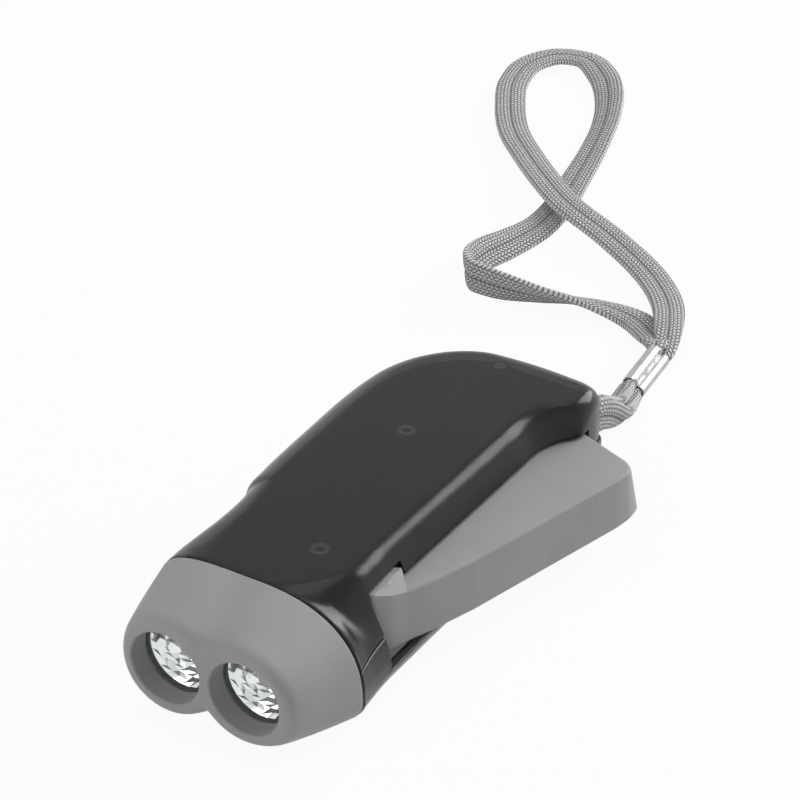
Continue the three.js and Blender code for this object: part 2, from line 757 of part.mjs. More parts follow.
// Sector: its ears are placed by shares of its pitch radius
const sectorRadius = gearModule * sectorTeeth * half;
const earPlaceShares = [[0.9222, 0.119], [0.9222, 0.2616]];
const earScrews = earPlaceShares.map(([along, out]) => (
  new THREE.Vector2(pivot.x + sectorRadius * out, pivot.y + sectorRadius * along)));

function lever() {
  const plateInside = leverBottom + leverPlate;
  const pocket = prism(leverOutline(leverPocketShares), plateInside, leverTop - leverPlate);
  const stopY = pivot.y + leverLength * stopPlaceShare;
  const body = joined(
    prism(leverOutline(leverEdgeShares), leverBottom, leverTop),
    post(pivot.x, pivot.y, hubRadius, leverBottom, hubTop, roundSegments),
    prism(leverOutline(hubBlockShares), leverBottom, hubTop),
    block(pivot.x, pivot.x + stopThick, stopY, stopY + stopLength, leverTop - leverPlate, stopTop),
  ).subtract(solidOf(pocket));
  const pads = earScrews.map((p) => solidOf(post(p.x, p.y, postRadius, leverBottom + leverPlate * half,
    sectorBottom - gap))).reduce((sum, next) => sum.add(next));
  const drilled = cutHoles(body.add(pads), earScrews, screwRadius + gap, plateInside - gap, sectorBottom);
  return cutHoles(drilled, [pivot], pinRadius + gap, 0, bodyHeight);
}

const pinTop = bodyHeight - wall - slideGap - gap;

function returnSpring() {
  const turns = springTurns + half;
  const springPitch = (leverBottom - springBottom - springWire - springWire * half) / turns;
  const count = turns * springSteps;
  const points = [[pivot.x - springRadius, pivot.y + springLeg, springBottom]];
  for (let i = 0; i <= count; i += 1) {
    const angle = Math.PI + (i / springSteps) * fullTurn;
    const z = springBottom + springPitch * (i / springSteps);
    points.push([pivot.x + springRadius * Math.cos(angle), pivot.y + springRadius * Math.sin(angle), z]);
  }
  points.push([pivot.x + springRadius, pivot.y + springLeg, springBottom + springPitch * turns]);
  return tube(points, springWire, count + springSteps);
}

// Gears: straight-flanked teeth, one tooth centred on the phase angle
const rootShare = 0.32;
const tipShare = 0.11;

function toothPoints(centre, radius, angle, pitch) {
  const flanks = [[-rootShare, -toothIn], [-tipShare, toothOut], [tipShare, toothOut], [rootShare, -toothIn]];
  return flanks.map(([turn, out]) => {
    const at = angle + turn * pitch;
    return [centre.x + (radius + out) * Math.cos(at), centre.y + (radius + out) * Math.sin(at)];
  });
}

function gearShape(centre, teeth, phaseDegrees) {
  const pitch = fullTurn / teeth;
  const radius = gearModule * teeth * half;
  const phase = THREE.MathUtils.degToRad(phaseDegrees);
  const points = [];
  for (let i = 0; i < teeth; i += 1) points.push(...toothPoints(centre, radius, phase + i * pitch, pitch));
  return outlineShape(points);
}

// Phase of a follower: a gap between its teeth faces back along the line of centres
function followerPhase(lineDegrees, teeth) {
  return lineDegrees + halfTurnDegrees + halfTurnDegrees / teeth;
}

function gearOneSolid() {
  const pinion = gearShape(gearOne, pinionOneTeeth, followerPhase(gearOneAngle, pinionOneTeeth));
  const wheel = gearShape(gearOne, wheelOneTeeth, gearTwoAngle);
  const gear = joined(
    prism(pinion, pinionOneBottom, pinionOneTop),
    post(gearOne.x, gearOne.y, hubOfGear, pinionOneTop, wheelOneBottom),
    prism(wheel, wheelOneBottom, wheelOneTop),
    post(gearOne.x, gearOne.y, collarOfGear, wheelOneBottom, gearTop),
  );
  return cutHoles(gear, [gearOne], shaftHole, 0, bodyHeight);
}

function gearTwoSolid() {
  const pinion = gearShape(gearTwo, pinionTwoTeeth, followerPhase(gearTwoAngle, pinionTwoTeeth));
  const wheel = gearShape(gearTwo, wheelTwoTeeth, rotorAngle);
  const gear = joined(
    post(gearTwo.x, gearTwo.y, stubOfGear, pinionOneBottom, pinionTwoBottom),
    prism(wheel, wheelTwoBottom, wheelTwoTop),
    post(gearTwo.x, gearTwo.y, hubOfGear - slideGap, wheelTwoBottom, pinionTwoBottom),
    prism(pinion, pinionTwoBottom, gearTop),
  );
  return cutHoles(gear, [gearTwo], shaftHole, 0, bodyHeight);
}

function flywheel() {
  const top = flywheelTop;
  const rimIn = flywheelRadius - flywheelRim;
  const profile = [
    [0, magnetBottom - gap], [magnetHub, magnetBottom - gap], [magnetHub, flywheelBottom],
    [flywheelRadius, flywheelBottom], [flywheelRadius, top], [rimIn, top],
    [rimIn - flywheelDish, top - flywheelDish], [hubOfGear + flywheelDish, top - flywheelDish],
    [hubOfGear, top], [0, top],
  ];
  const wheel = turned(profile, roundSegments + smallSegments).rotateX(quarterTurn);
  const pinion = gearShape(rotor, pinionThreeTeeth, followerPhase(rotorAngle, pinionThreeTeeth));
  const gear = joined(
    wheel.translate(rotor.x, rotor.y, 0),
    prism(pinion, pinionThreeBottom - gap, pinionThreeTop),
    post(rotor.x, rotor.y, collarOfGear, pinionThreeBottom, gearTop),
  );
  return cutHoles(gear, [rotor], shaftHole, 0, bodyHeight);
}

const earEdgeShares = [[0.847, 0.1308], [0.847, 0.3269], [0.9992, 0.3626], [0.9992, 0.0119]];
const bandEndShare = 0.6;

function driveSector() {
  const pitch = fullTurn / sectorTeeth;
  const radius = sectorRadius;
  const meshAngle = THREE.MathUtils.degToRad(gearOneAngle);
  const inner = radius - toothIn - sectorBand;
  const bandEnd = meshAngle + pitch * (sectorAhead + bandEndShare);
  const points = [];
  for (let i = 0; i <= smallSegments; i += 1) {
    const at = bandEnd + (quarterTurn - bandEnd) * (i / smallSegments);
    points.push([pivot.x + inner * Math.cos(at), pivot.y + inner * Math.sin(at)]);
  }
  earEdgeShares.forEach(([along, out]) => points.push([pivot.x + radius * out, pivot.y + radius * along]));
  for (let k = -sectorBehind; k <= sectorAhead; k += 1) points.push(...toothPoints(pivot, radius, meshAngle + k * pitch, pitch));
  const root = radius - toothIn;
  points.push([pivot.x + root * Math.cos(bandEnd), pivot.y + root * Math.sin(bandEnd)]);
  const plate = solidOf(prism(outlineShape(points), sectorBottom, sectorTop));
  return cutHoles(plate, earScrews, screwRadius + gap, 0, bodyHeight);
}

// Screws: heads up in the plate and sector, heads down in the bottom shell
function screwDown(place, headBottom, length) {
  return joined(
    post(place.x, place.y, screwHead, headBottom, headBottom + screwHeadThick),
    post(place.x, place.y, screwRadius, headBottom - length, headBottom + screwHeadThick * half),
  );
}

function shellScrew(place) {
  const headTop = gap + shellScrewHeadThick;
  return joined(
    post(place.x, place.y, shellScrewHead, gap, headTop),
    post(place.x, place.y, shellScrewRadius, headTop - gap, shellScrewTop),
  );
}

function bearingPlate() {
  const [rearPost, frontPost] = postPlaces;
  const links = [
    [pegPlace, gearTwo], [gearTwo, gearOne], [gearOne, rearPost],
    [frontPost, gearTwo], [frontPost, rotor], [rotor, pegPlace],
  ];
  const arms = joined(...links.map(([from, to]) => prism(capsuleShape(from, to, plateArm), plateBottom, plateTop)));
  const plate = arms.intersect(solidOf(bodySkin(wall + gap, 0)));
  const shafts = cutHoles(plate, [gearOne, gearTwo, rotor], shaftHole, 0, bodyHeight);
  return cutHoles(shafts, [pegPlace, ...postPlaces], screwRadius + gap, 0, bodyHeight);
}

// Generator: magnet under the flywheel, C-shaped core round it, coil on the core's limb
function ringMagnet() {
  const ring = solidOf(post(rotor.x, rotor.y, magnetRadius, magnetBottom, magnetTop, roundSegments));
  return cutHoles(ring, [rotor], magnetHub + gap, 0, bodyHeight);
}

function statorCore() {
  const limbRear = rotor.y - limbBack;
  const inside = magnetRadius + poleGap;
  const beside = (x, y0, y1) => block(rotor.x - x, rotor.x + x, y0, y1, 0, bodyHeight);
  const plate = joined(
    post(rotor.x, rotor.y, poleRadius, coreBottom, coreTop, roundSegments),
    block(rotor.x - poleRadius, rotor.x + poleRadius, limbRear - limbThick, rotor.y, coreBottom, coreTop),
  );
  return cutHoles(plate, [rotor], inside, 0, bodyHeight)
    .subtract(solidOf(beside(armInner, limbRear, rotor.y - poleGap - poleSlot)))
    .subtract(solidOf(beside(poleSlot, rotor.y, rotor.y + poleRadius + overrun)));
}

function boxRing(halfLength, innerY, innerZ, outerY, outerZ) {
  const y = rotor.y - limbBack - limbThick * half;
  const outside = solidOf(block(rotor.x - halfLength, rotor.x + halfLength, y - outerY, y + outerY,
    coreZ - outerZ, coreZ + outerZ));
  const reach = halfLength + overrun;
  return outside.subtract(solidOf(block(rotor.x - reach, rotor.x + reach, y - innerY, y + innerY,
    coreZ - innerZ, coreZ + innerZ)));
}

function coil() {
  const innerY = limbThick * half + gap;
  const innerZ = coreThick * half + gap;
  const tubeY = innerY + bobbinWall;
  const tubeZ = innerZ + bobbinWall;
  const outZ = (coreZ - wall) * coilReachShare;
  const outY = outZ + tubeY - tubeZ;
  const between = coilLength * half - bobbinWall;
  const flanged = boxRing(coilLength * half, innerY, innerZ, outY, outZ)
    .subtract(boxRing(between, tubeY, tubeZ, outY + overrun, outZ + overrun));
  return { bobbin: flanged, winding: boxRing(between - gap, tubeY + gap, tubeZ + gap, outY, outZ) };
}

// Cells and their clip
function batteryPack() {
  const profile = [[0, 0]];
  for (let i = 0; i < cellCount; i += 1) {
    const base = cellThick * i;
    profile.push([cellPackRadius - cellGroove, base], [cellPackRadius, base + cellGroove]);
    profile.push([cellPackRadius, base + cellThick - cellGroove], [cellPackRadius - cellGroove, base + cellThick]);
  }
  profile.push([0, cellHeight]);
  const tidy = profile.filter(([r, y], i) => i === 0 || r !== profile[i - 1][0] || y !== profile[i - 1][1]);
  return turned(tidy).rotateX(quarterTurn).translate(cells.x, cells.y, wall + gap);
}

function batteryClip() {
  const legY = cells.y + cellPackRadius + gap + cradleWall + gap;
  const top = wall + gap + cellHeight + gap;
  const x0 = cells.x - clipWidth * half;
  const x1 = cells.x + clipWidth * half;
  return joined(
    block(x0, x1, cells.y - cellPackRadius * half, legY + clipThick, top, top + clipThick),
    block(x0, x1, legY, legY + clipThick, wall + gap, top + clipThick),
  );
}

// Sliding switch in the palm side
function switchBody() {
  return solidOf(block(switchInner, switchInner + switchDepth, switchMiddleY - switchLength * half,
    switchMiddleY + switchLength * half, partingZ - switchHeight * half, partingZ + switchHeight * half));
}

function switchKnob() {
  const padShare = 0.895;
  const padInner = -palmReach * padShare;
  const halfStem = knobStem * half;
  return joined(
    block(padInner - knobThick, padInner, knobRestY - knobLength * half, knobRestY + knobLength * half,
      partingZ - knobHeight * half, partingZ + knobHeight * half),
    block(padInner - knobThick * half, switchInner - gap, knobRestY - halfStem, knobRestY + halfStem,
      partingZ - halfStem, partingZ + halfStem),
  );
}

// Wires inside the body: places as shares of palmReach, of the body behind the seam, and
// of the rise from the floor to the lamp board
const batteryWireShares = [
  [-0.47, 0.665, 0], [-0.53, 0.59, 0], [-0.54, 0.47, 0], [-0.54, 0.34, 0.05], [-0.64, 0.2, 0.22],
  [-0.655, 0.15, 0.3], [-0.65, 0.105, 0.3], [-0.56, 0.07, 0.35], [-0.48, 0.045, 0.5],
  [-0.45, 0.01, 0.9], [-0.45, -0.003, 1],
];
const coilWireShares = [[-0.2, 0.07, 0.4], [-0.22, 0.045, 0.5], [-0.26, 0.012, 0.9], [-0.26, -0.003, 1]];
const boardBack = boardFront + boardThick + gap;

function wire(shares, steps) {
  const floorZ = wall + gap + wireRadius;
  const rise = partingZ * half - floorZ;
  const points = shares.map(([across, back, up]) => [
    palmReach * across, seamY + bodyLength * back, floorZ + rise * up,
  ]);
  points[points.length - 1][1] = boardBack;
  return solidOf(tube(points, wireRadius, steps));
}

// Strap: the route's points are chosen by hand and lie on the table the torch stands on.
// The last number of a row is the band's roll in degrees: 0 lies flat, 90 stands upright.
const tailRoute = [
  [15.3, 106.1, 14.1, 90], [15.4, 109, 13.9, 90], [15.2, 113, 12.4, 82], [14.4, 118, 9.6, 66],
  [13.2, 123, 6.6, 50], [11.8, 128, 4.5, 38], [10.4, 133, 3.4, 32], [9.3, 137.8, 3.1, 30],
];
const ferruleRoute = [[9.27, 138.1, 3.1], [7.6, 152.2, 3.1]];
const loopRoute = [
  [7.6, 152.5, 4.4, 0], [6.9, 157, 4.3, 0], [5.2, 163, 4, 0], [1.2, 171, 3.3, 0], [-8.2, 180.2, 2.8, 0],
  [-24.7, 190.3, 3.8, 0], [-40.2, 197.3, 5, 0], [-50.2, 205.4, 4.6, 0], [-60.5, 215.6, 3.2, 0],
  [-70.5, 226, 2.4, 0], [-79, 238.5, 2.2, 0], [-85, 251, 2.2, 0], [-86.2, 260.5, 2.4, 0],
  [-82.4, 267.6, 2.6, 0], [-75.5, 269.5, 2.6, 0], [-67.9, 264.2, 2.4, 0], [-60.6, 254.6, 2, 0],
  [-55, 243.2, 1.6, 0], [-50.6, 229.5, 1.3, 0], [-46.8, 213, 1.2, 0], [-44, 199.5, 1.2, 0],
  [-43, 189, 1.6, 10], [-44.4, 177.5, 2.6, 30], [-46.2, 168.5, 3.6, 62], [-45, 160, 4.1, 85],
  [-40.5, 156, 4.1, 90], [-35, 156.6, 4.1, 85], [-26.5, 160.6, 3.5, 55], [-14, 164.6, 2.4, 18],
  [-4.5, 164.4, 1.7, 0], [1.2, 160.4, 1.6, 0], [4.6, 156.2, 1.7, 0], [6.4, 152.6, 1.8, 0],
];

// A route whose frames follow the given rolls instead of the curve's own twist
function rolledPath(route) {
  const path = new THREE.CatmullRomCurve3(route.map(([x, y, z]) => new THREE.Vector3(x, y, z)));
  const rolls = route.map((row) => THREE.MathUtils.degToRad(row[3]));
  const rollAt = (share) => {
    const at = path.getUtoTmapping(share) * (rolls.length - 1);
    const index = Math.min(Math.floor(at), rolls.length - 2);
    return THREE.MathUtils.lerp(rolls[index], rolls[index + 1], at - index);
  };
  path.computeFrenetFrames = (steps) => {
    const frames = { tangents: [], normals: [], binormals: [] };
    for (let i = 0; i <= steps; i += 1) {
      const tangent = path.getTangentAt(i / steps);
      const beside = new THREE.Vector3(0, 0, 1).cross(tangent).normalize();
      const above = tangent.clone().cross(beside);
      const roll = rollAt(i / steps);
      const normal = above.multiplyScalar(Math.cos(roll)).addScaledVector(beside, Math.sin(roll));
      frames.tangents.push(tangent);
      frames.normals.push(normal);
      frames.binormals.push(tangent.clone().cross(normal));
    }
    return frames;
  };
  return path;
}

const bandEdgeShares = [
  [1, 0.45], [0.45, 1], [-0.45, 1], [-1, 0.45], [-1, -0.45], [-0.45, -1], [0.45, -1], [1, -0.45],
];

function band(route, width, thick, steps) {
  const section = outlineShape(bandEdgeShares.map(([up, across]) => [
    up * thick * half, across * width * half,
  ]));
  const options = { steps, bevelEnabled: false, extrudePath: rolledPath(route) };
  return solidOf(new THREE.ExtrudeGeometry(section, options));
}

function strapFerrule() {
  const [from, to] = ferruleRoute.map((p) => new THREE.Vector3(...p));
  const along = to.clone().sub(from);
  const length = along.length();
  const middles = [new THREE.Vector2(-ferruleSpread, 0), new THREE.Vector2(ferruleSpread, 0)];
  const outside = capsuleShape(...middles, ferruleLobe);
  const inside = capsuleShape(...middles, ferruleBore);
  const sleeve = solidOf(prism(outside, 0, length, smallSegments))
    .subtract(solidOf(prism(inside, -overrun, length + overrun, smallSegments)));
  const geometry = geometryOf(sleeve);
  geometry.rotateZ(THREE.MathUtils.degToRad(ferruleTilt));
  geometry.rotateX(-quarterTurn);
  geometry.rotateZ(Math.atan2(along.y, along.x) - quarterTurn);
  return geometry.translate(from.x, from.y, from.z);
}

// Assembly: fixed pieces first, then what moves
const fixed = [
  ['top_shell', topShell(), 'smoky'],
  ['bottom_shell', bottomShell(), 'smoky'],
  ['nose_bezel', noseBezel(), 'grey'],
  ['lamp_board', lampBoard(), 'green'],
  ['diode_a', diode(diodePlaceShares[0]), 'dark'],
  ['diode_b', diode(diodePlaceShares[1]), 'dark'],
  ['diode_c', diode(diodePlaceShares[2]), 'dark'],
  ['diode_d', diode(diodePlaceShares[3]), 'dark'],
  ['board_capacitor', capacitor(), 'dark'],
  ['lever_pin', solidOf(post(pivot.x, pivot.y, pinRadius, wall + gap, pinTop)), 'steel'],
  ['gear_one_shaft', solidOf(post(gearOne.x, gearOne.y, shaftRadius, wall + gap, plateTop)), 'steel'],
  ['gear_two_shaft', solidOf(post(gearTwo.x, gearTwo.y, shaftRadius, wall + gap, plateTop)), 'steel'],
  ['rotor_shaft', solidOf(post(rotor.x, rotor.y, shaftRadius, wall + gap, plateTop)), 'steel'],
  ['bearing_plate', bearingPlate(), 'nylon'],
  ['plate_screw_rear', screwDown(postPlaces[0], plateTop + gap, screwLength), 'steel'],
  ['plate_screw_front', screwDown(postPlaces[1], plateTop + gap, screwLength), 'steel'],
  ['shell_screw_palm', shellScrew(screwPlaces[0]), 'steel'],
  ['shell_screw_lever', shellScrew(screwPlaces[1]), 'steel'],
  ['shell_screw_tail', shellScrew(screwPlaces[2]), 'steel'],
  ['stator_core', statorCore(), 'iron'],
  ['coil_bobbin', coil().bobbin, 'nylon'],
  ['coil_winding', coil().winding, 'copper'],
  ['battery_pack', solidOf(batteryPack()), 'bright'],
  ['battery_clip', batteryClip(), 'steel'],
  ['switch_body', switchBody(), 'dark'],
  ['battery_wire', wire(batteryWireShares, roundSegments), 'red'],
  ['coil_wire', wire(coilWireShares, smallSegments), 'dark'],
  ['return_spring', solidOf(returnSpring()), 'steel'],
  ['strap_bar', solidOf(post(bar.x, bar.y, barRadius, wall + gap, ceiling - gap)), 'steel'],
  ['strap_tail', band(tailRoute, strapWidth, bundleThick, smallSegments), 'braid'],
  ['strap_ferrule', strapFerrule(), 'bright'],
  ['strap_loop', band(loopRoute, strapWidth, strapThick, loopSteps), 'braid'],
];
fixed.forEach(([name, shape, finishName]) => addPiece(name, shape, finishName));

[['left', -lampSpread], ['right', lampSpread]].forEach(([side, x]) => {
  const place = new THREE.Vector3(x, 0, partingZ);
  addPiece(`lens_${side}`, solidOf(barrel(0, 0, lensRadius, lensFront, lensFront + lensThick)), 'clear', place);
  addPiece(`reflector_${side}`, solidOf(reflectorCup()), 'bright', place);
  addPiece(`led_${side}`, lamp(), 'clear', place);
});

addPiece('lever', lever(), 'grey');
addPiece('drive_sector', driveSector(), 'nylon');
addPiece('sector_screw_inner', screwDown(earScrews[0], sectorTop + gap, screwLength), 'steel');
addPiece('sector_screw_outer', screwDown(earScrews[1], sectorTop + gap, screwLength), 'steel');
addPiece('gear_one', gearOneSolid(), 'nylon');
addPiece('gear_two', gearTwoSolid(), 'nylon');
addPiece('flywheel', flywheel(), 'dark');
addPiece('ring_magnet', ringMagnet(), 'iron');
addPiece('switch_knob', switchKnob(), 'dark');

torch.position.y = -originFromNose;

export default torch;
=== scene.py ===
import json
import math
import bpy
import bmesh
import numpy as np
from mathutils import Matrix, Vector


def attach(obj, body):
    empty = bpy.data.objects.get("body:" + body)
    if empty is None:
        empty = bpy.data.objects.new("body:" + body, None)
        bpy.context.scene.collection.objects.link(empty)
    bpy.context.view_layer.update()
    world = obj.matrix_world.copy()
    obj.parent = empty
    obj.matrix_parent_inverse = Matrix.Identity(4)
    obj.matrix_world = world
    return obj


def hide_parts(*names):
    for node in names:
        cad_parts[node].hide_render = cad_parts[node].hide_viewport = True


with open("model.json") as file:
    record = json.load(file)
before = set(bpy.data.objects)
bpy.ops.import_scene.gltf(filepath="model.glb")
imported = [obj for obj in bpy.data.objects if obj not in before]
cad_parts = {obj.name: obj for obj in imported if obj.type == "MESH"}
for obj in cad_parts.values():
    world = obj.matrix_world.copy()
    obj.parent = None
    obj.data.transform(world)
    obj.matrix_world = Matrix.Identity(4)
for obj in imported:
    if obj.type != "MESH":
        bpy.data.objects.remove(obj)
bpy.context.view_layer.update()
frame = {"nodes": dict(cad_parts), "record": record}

# Places are written as in the part's source: millimetres from the nose, X across,
# Y back from the front plane, Z up. toFrame turns them into the frame's metres.
noseToOrigin = 60.0


def toFrame(points):
    moved = np.array(points, float)
    moved[..., 1] -= noseToOrigin
    return moved * 0.001


def fullTurn(count):
    return np.linspace(0, math.tau, count, endpoint=False)


def quarterRound(radius, count):
    # a rounded edge's points: how far in they stand, and how far along
    turn = np.linspace(0, math.pi / 2, count)
    return radius * (1 - np.sin(turn)), radius * (1 - np.cos(turn))


def held(values):
    # kept between nought and one
    return np.clip(values, 0, 1)


def unit(vectors):
    return vectors / np.linalg.norm(vectors, axis=-1, keepdims=True)


def gridFaces(rows, columns, aroundRows=False, aroundColumns=False, start=0):
    # four neighbours of every cell, wrapping where the grid is closed
    i = np.arange(rows if aroundRows else rows - 1)[:, None]
    j = np.arange(columns if aroundColumns else columns - 1)[None, :]
    row, nextRow, nextColumn = i * columns, (i + 1) % rows * columns, (j + 1) % columns
    corners = [row + j, row + nextColumn, nextRow + nextColumn, nextRow + j]
    return (np.stack(np.broadcast_arrays(*corners), -1).reshape(-1, 4) + start).tolist()


def endCaps(rows, columns):
    return [list(range(columns - 1, -1, -1)), list(range((rows - 1) * columns, rows * columns))]


boxFaces = [[0, 1, 3, 2], [4, 6, 7, 5], [0, 4, 5, 1], [2, 3, 7, 6], [0, 2, 6, 4], [1, 5, 7, 3]]


def addObject(name, data):
    made = bpy.data.objects.new(name, data)
    bpy.context.scene.collection.objects.link(made)
    return made


def newPiece(name, points, faces):
    mesh = bpy.data.meshes.new(name)
    mesh.from_pydata(toFrame(points).reshape(-1, 3).tolist(), [], faces)
    return addObject(name, mesh)


def closeUp(piece, reach=2e-6):
    # merge doubles and drop flat slivers within reach, turn faces outwards
    work = bmesh.new()
    work.from_mesh(piece.data)
    if reach:
        bmesh.ops.remove_doubles(work, verts=work.verts, dist=reach)
        bmesh.ops.dissolve_degenerate(work, edges=work.edges, dist=reach)
    bmesh.ops.recalc_face_normals(work, faces=work.faces)
    work.to_mesh(piece.data)
    work.free()
    return piece


def solid(name, points, faces, reach=2e-6):
    return closeUp(newPiece(name, points, faces), reach)


def settle(piece):
    # what the modifiers make becomes the mesh
    depsgraph = bpy.context.evaluated_depsgraph_get()
    made = bpy.data.meshes.new_from_object(piece.evaluated_get(depsgraph))
    piece.modifiers.clear()
    old = piece.data
    piece.data = made
    bpy.data.meshes.remove(old)
    return piece


def combine(piece, tools, operation="DIFFERENCE"):
    for tool in tools:
        step = piece.modifiers.new(tool.name, "BOOLEAN")
        step.object, step.operation, step.solver = tool, operation, "MANIFOLD"
    settle(piece)
    for tool in tools:
        bpy.data.meshes.remove(tool.data)
    return piece


def shade(piece, material, sharpAngle=32.0, weighted=False):
    # smooth faces, sharp edges by angle, and normals that follow the larger faces
    piece.data.shade_smooth()
    piece.data.set_sharp_from_angle(angle=math.radians(sharpAngle))
    if weighted:
        step = piece.modifiers.new("normals", "WEIGHTED_NORMAL")
        step.keep_sharp, step.weight = True, 60
        settle(piece)
    piece.data.materials.clear()
    piece.data.materials.append(material)
    return piece


def mount(piece, carrier, slot, *nodes):
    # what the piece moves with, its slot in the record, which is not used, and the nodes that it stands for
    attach(piece, carrier)
    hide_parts(*nodes)


def join(pieces):
    # several closed meshes become one object
    first = pieces[0]
    work = bmesh.new()
    for piece in pieces:
        work.from_mesh(piece.data)
    work.to_mesh(first.data)
    work.free()
    for piece in pieces[1:]:
        bpy.data.meshes.remove(piece.data)
    return first


def lathe(name, profile, centre, sides=64, axis="z"):
    # a profile of (radius, height) pairs turned about an upright or a lengthways axis
    radius, height = np.array(profile, float).T
    angle = fullTurn(sides)
    across = radius[:, None] * np.cos(angle)
    other = radius[:, None] * np.sin(angle)
    level = np.broadcast_to(height[:, None], across.shape)
    order = (across, other, level) if axis == "z" else (across, level, other)
    points = np.stack(order, -1) + np.array(centre, float)
    faces = gridFaces(len(radius), sides, aroundRows=True, aroundColumns=True)
    return solid(name, points, faces)


def rod(name, x, y, radius, bottom, top, sides=48):
    return lathe(name, [(0, bottom), (radius, bottom), (radius, top), (0, top)], (x, y, 0), sides)


def tube(name, x, y, radius, hole, bottom, top, sides=40):
    return lathe(name, [(hole, bottom), (radius, bottom), (radius, top), (hole, top)], (x, y, 0), sides)


def brick(name, low, high):
    x, y, z = [np.array(side, float) for side in zip(low, high)]
    corners = np.stack(np.meshgrid(x, y, z, indexing="ij"), -1)
    return solid(name, corners, boxFaces)


def operator(operation, swapped=False):
    def apply(left, *right):
        values = [left, *right][::-1] if swapped else [left, *right]
        return left.finish.node("Math", dict(enumerate(values)), {"operation": operation})
    return apply


class Wire:
    # one socket, with the operators that the finishes use
    def __init__(self, finish, socket):
        self.finish, self.socket = finish, socket

    __add__ = __radd__ = operator("ADD")
    __mul__ = __rmul__ = operator("MULTIPLY")
    __sub__, __rsub__ = operator("SUBTRACT"), operator("SUBTRACT", swapped=True)
    __truediv__, __pow__, __mod__ = operator("DIVIDE"), operator("POWER"), operator("FLOORED_MODULO")
    wave, size, floor = operator("SINE"), operator("ABSOLUTE"), operator("FLOOR")
    most, above = operator("MAXIMUM"), operator("GREATER_THAN")

    def ramp(self, low, high, toLow=0.0, toHigh=1.0):
        # smooth step from one range to another
        values = {0: self, 1: low, 2: high, 3: toLow, 4: toHigh}
        return self.finish.node("MapRange", values, {"interpolation_type": "SMOOTHSTEP"})


class Finish:
    # a material whose nodes all come from one method
    def __init__(self, owner, kind="Material"):
        # the owner is a new material's name, or the world
        self.material = bpy.data.materials.new(owner) if kind == "Material" else owner
        self.material.use_nodes = True
        self.tree = self.material.node_tree
        self.tree.nodes.clear()
        self.end = self.tree.nodes.new("ShaderNodeOutput" + kind)

    def node(self, kind, values=None, settings=None, out=0):
        made = self.tree.nodes.new("ShaderNode" + kind)
        for key, value in (settings or {}).items():
            if key == "stops":
                stops = made.color_ramp.elements
                while len(stops) < len(value):
                    stops.new(0.5)
                for stop, (place, colour) in zip(stops, value):
                    stop.position, stop.color = place, colour
            else:
                setattr(made, key, value)
        for key, value in (values or {}).items():
            if isinstance(value, Wire):
                self.tree.links.new(value.socket, made.inputs[key])
            else:
                made.inputs[key].default_value = value
        return Wire(self, made.outputs[out])

    def place(self, scale=(1, 1, 1)):
        # millimetres over the piece
        spot = self.node("TexCoord", out=3)
        return self.node("Mapping", {0: spot, 3: tuple(1000 * s for s in scale)})

    def axes(self, spot):
        return [self.node("SeparateXYZ", {0: spot}, out=k) for k in range(3)]

    def noise(self, spot, scale, detail=3.0, rough=0.5):
        values = {"Vector": spot, "Scale": scale, "Detail": detail, "Roughness": rough}
        return self.node("TexNoise", values)

    def blend(self, share, first, second):
        return self.node("Mix", {0: share, 6: first, 7: second}, {"data_type": "RGBA"}, out=2)

    def bump(self, height, strength, distance):
        return self.node("Bump", {"Height": height, "Strength": strength, "Distance": distance})

    def show(self, shader):
        self.tree.links.new(shader.socket, self.end.inputs[0])
        return self.material

    def surface(self, values):
        return self.show(self.node("BsdfPrincipled", values))

    def mix(self, share, first, second):
        return self.show(self.node("MixShader", {0: share, 1: first, 2: second}))


def shadeOf(level, tint=(1, 1, 1)):
    # a screen grey from 0 to 255 as a linear colour
    linear = [(level * t / 255) for t in tint]
    return tuple(((c + 0.055) / 1.055) ** 2.4 if c > 0.04 else c / 12.92 for c in linear) + (1.0,)


cameraPlace = {
    "azimuth": 32.25,
    "elevation": 31.82,
    "distance": 0.6,
    "target": (-0.020931, 0.036502, 0.012),
    "lens": 136.458,
    "sensor": 36.0,
    "clip": (0.01, 20.0),
}


def addCamera():
    azimuth, elevation = math.radians(cameraPlace["azimuth"]), math.radians(cameraPlace["elevation"])
    outward = Vector((math.sin(azimuth) * math.cos(elevation), -math.cos(azimuth) * math.cos(elevation),
                      math.sin(elevation)))
    lens = bpy.data.cameras.new("camera")
    lens.lens, lens.sensor_width, lens.sensor_fit = cameraPlace["lens"], cameraPlace["sensor"], "AUTO"
    lens.clip_start, lens.clip_end = cameraPlace["clip"]
    camera = addObject("camera", lens)
    camera.location = Vector(cameraPlace["target"]) + outward * cameraPlace["distance"]
    camera.rotation_euler = (-outward).to_track_quat("-Z", "Y").to_euler()
    bpy.context.scene.camera = camera


addCamera()
print("camera placed")


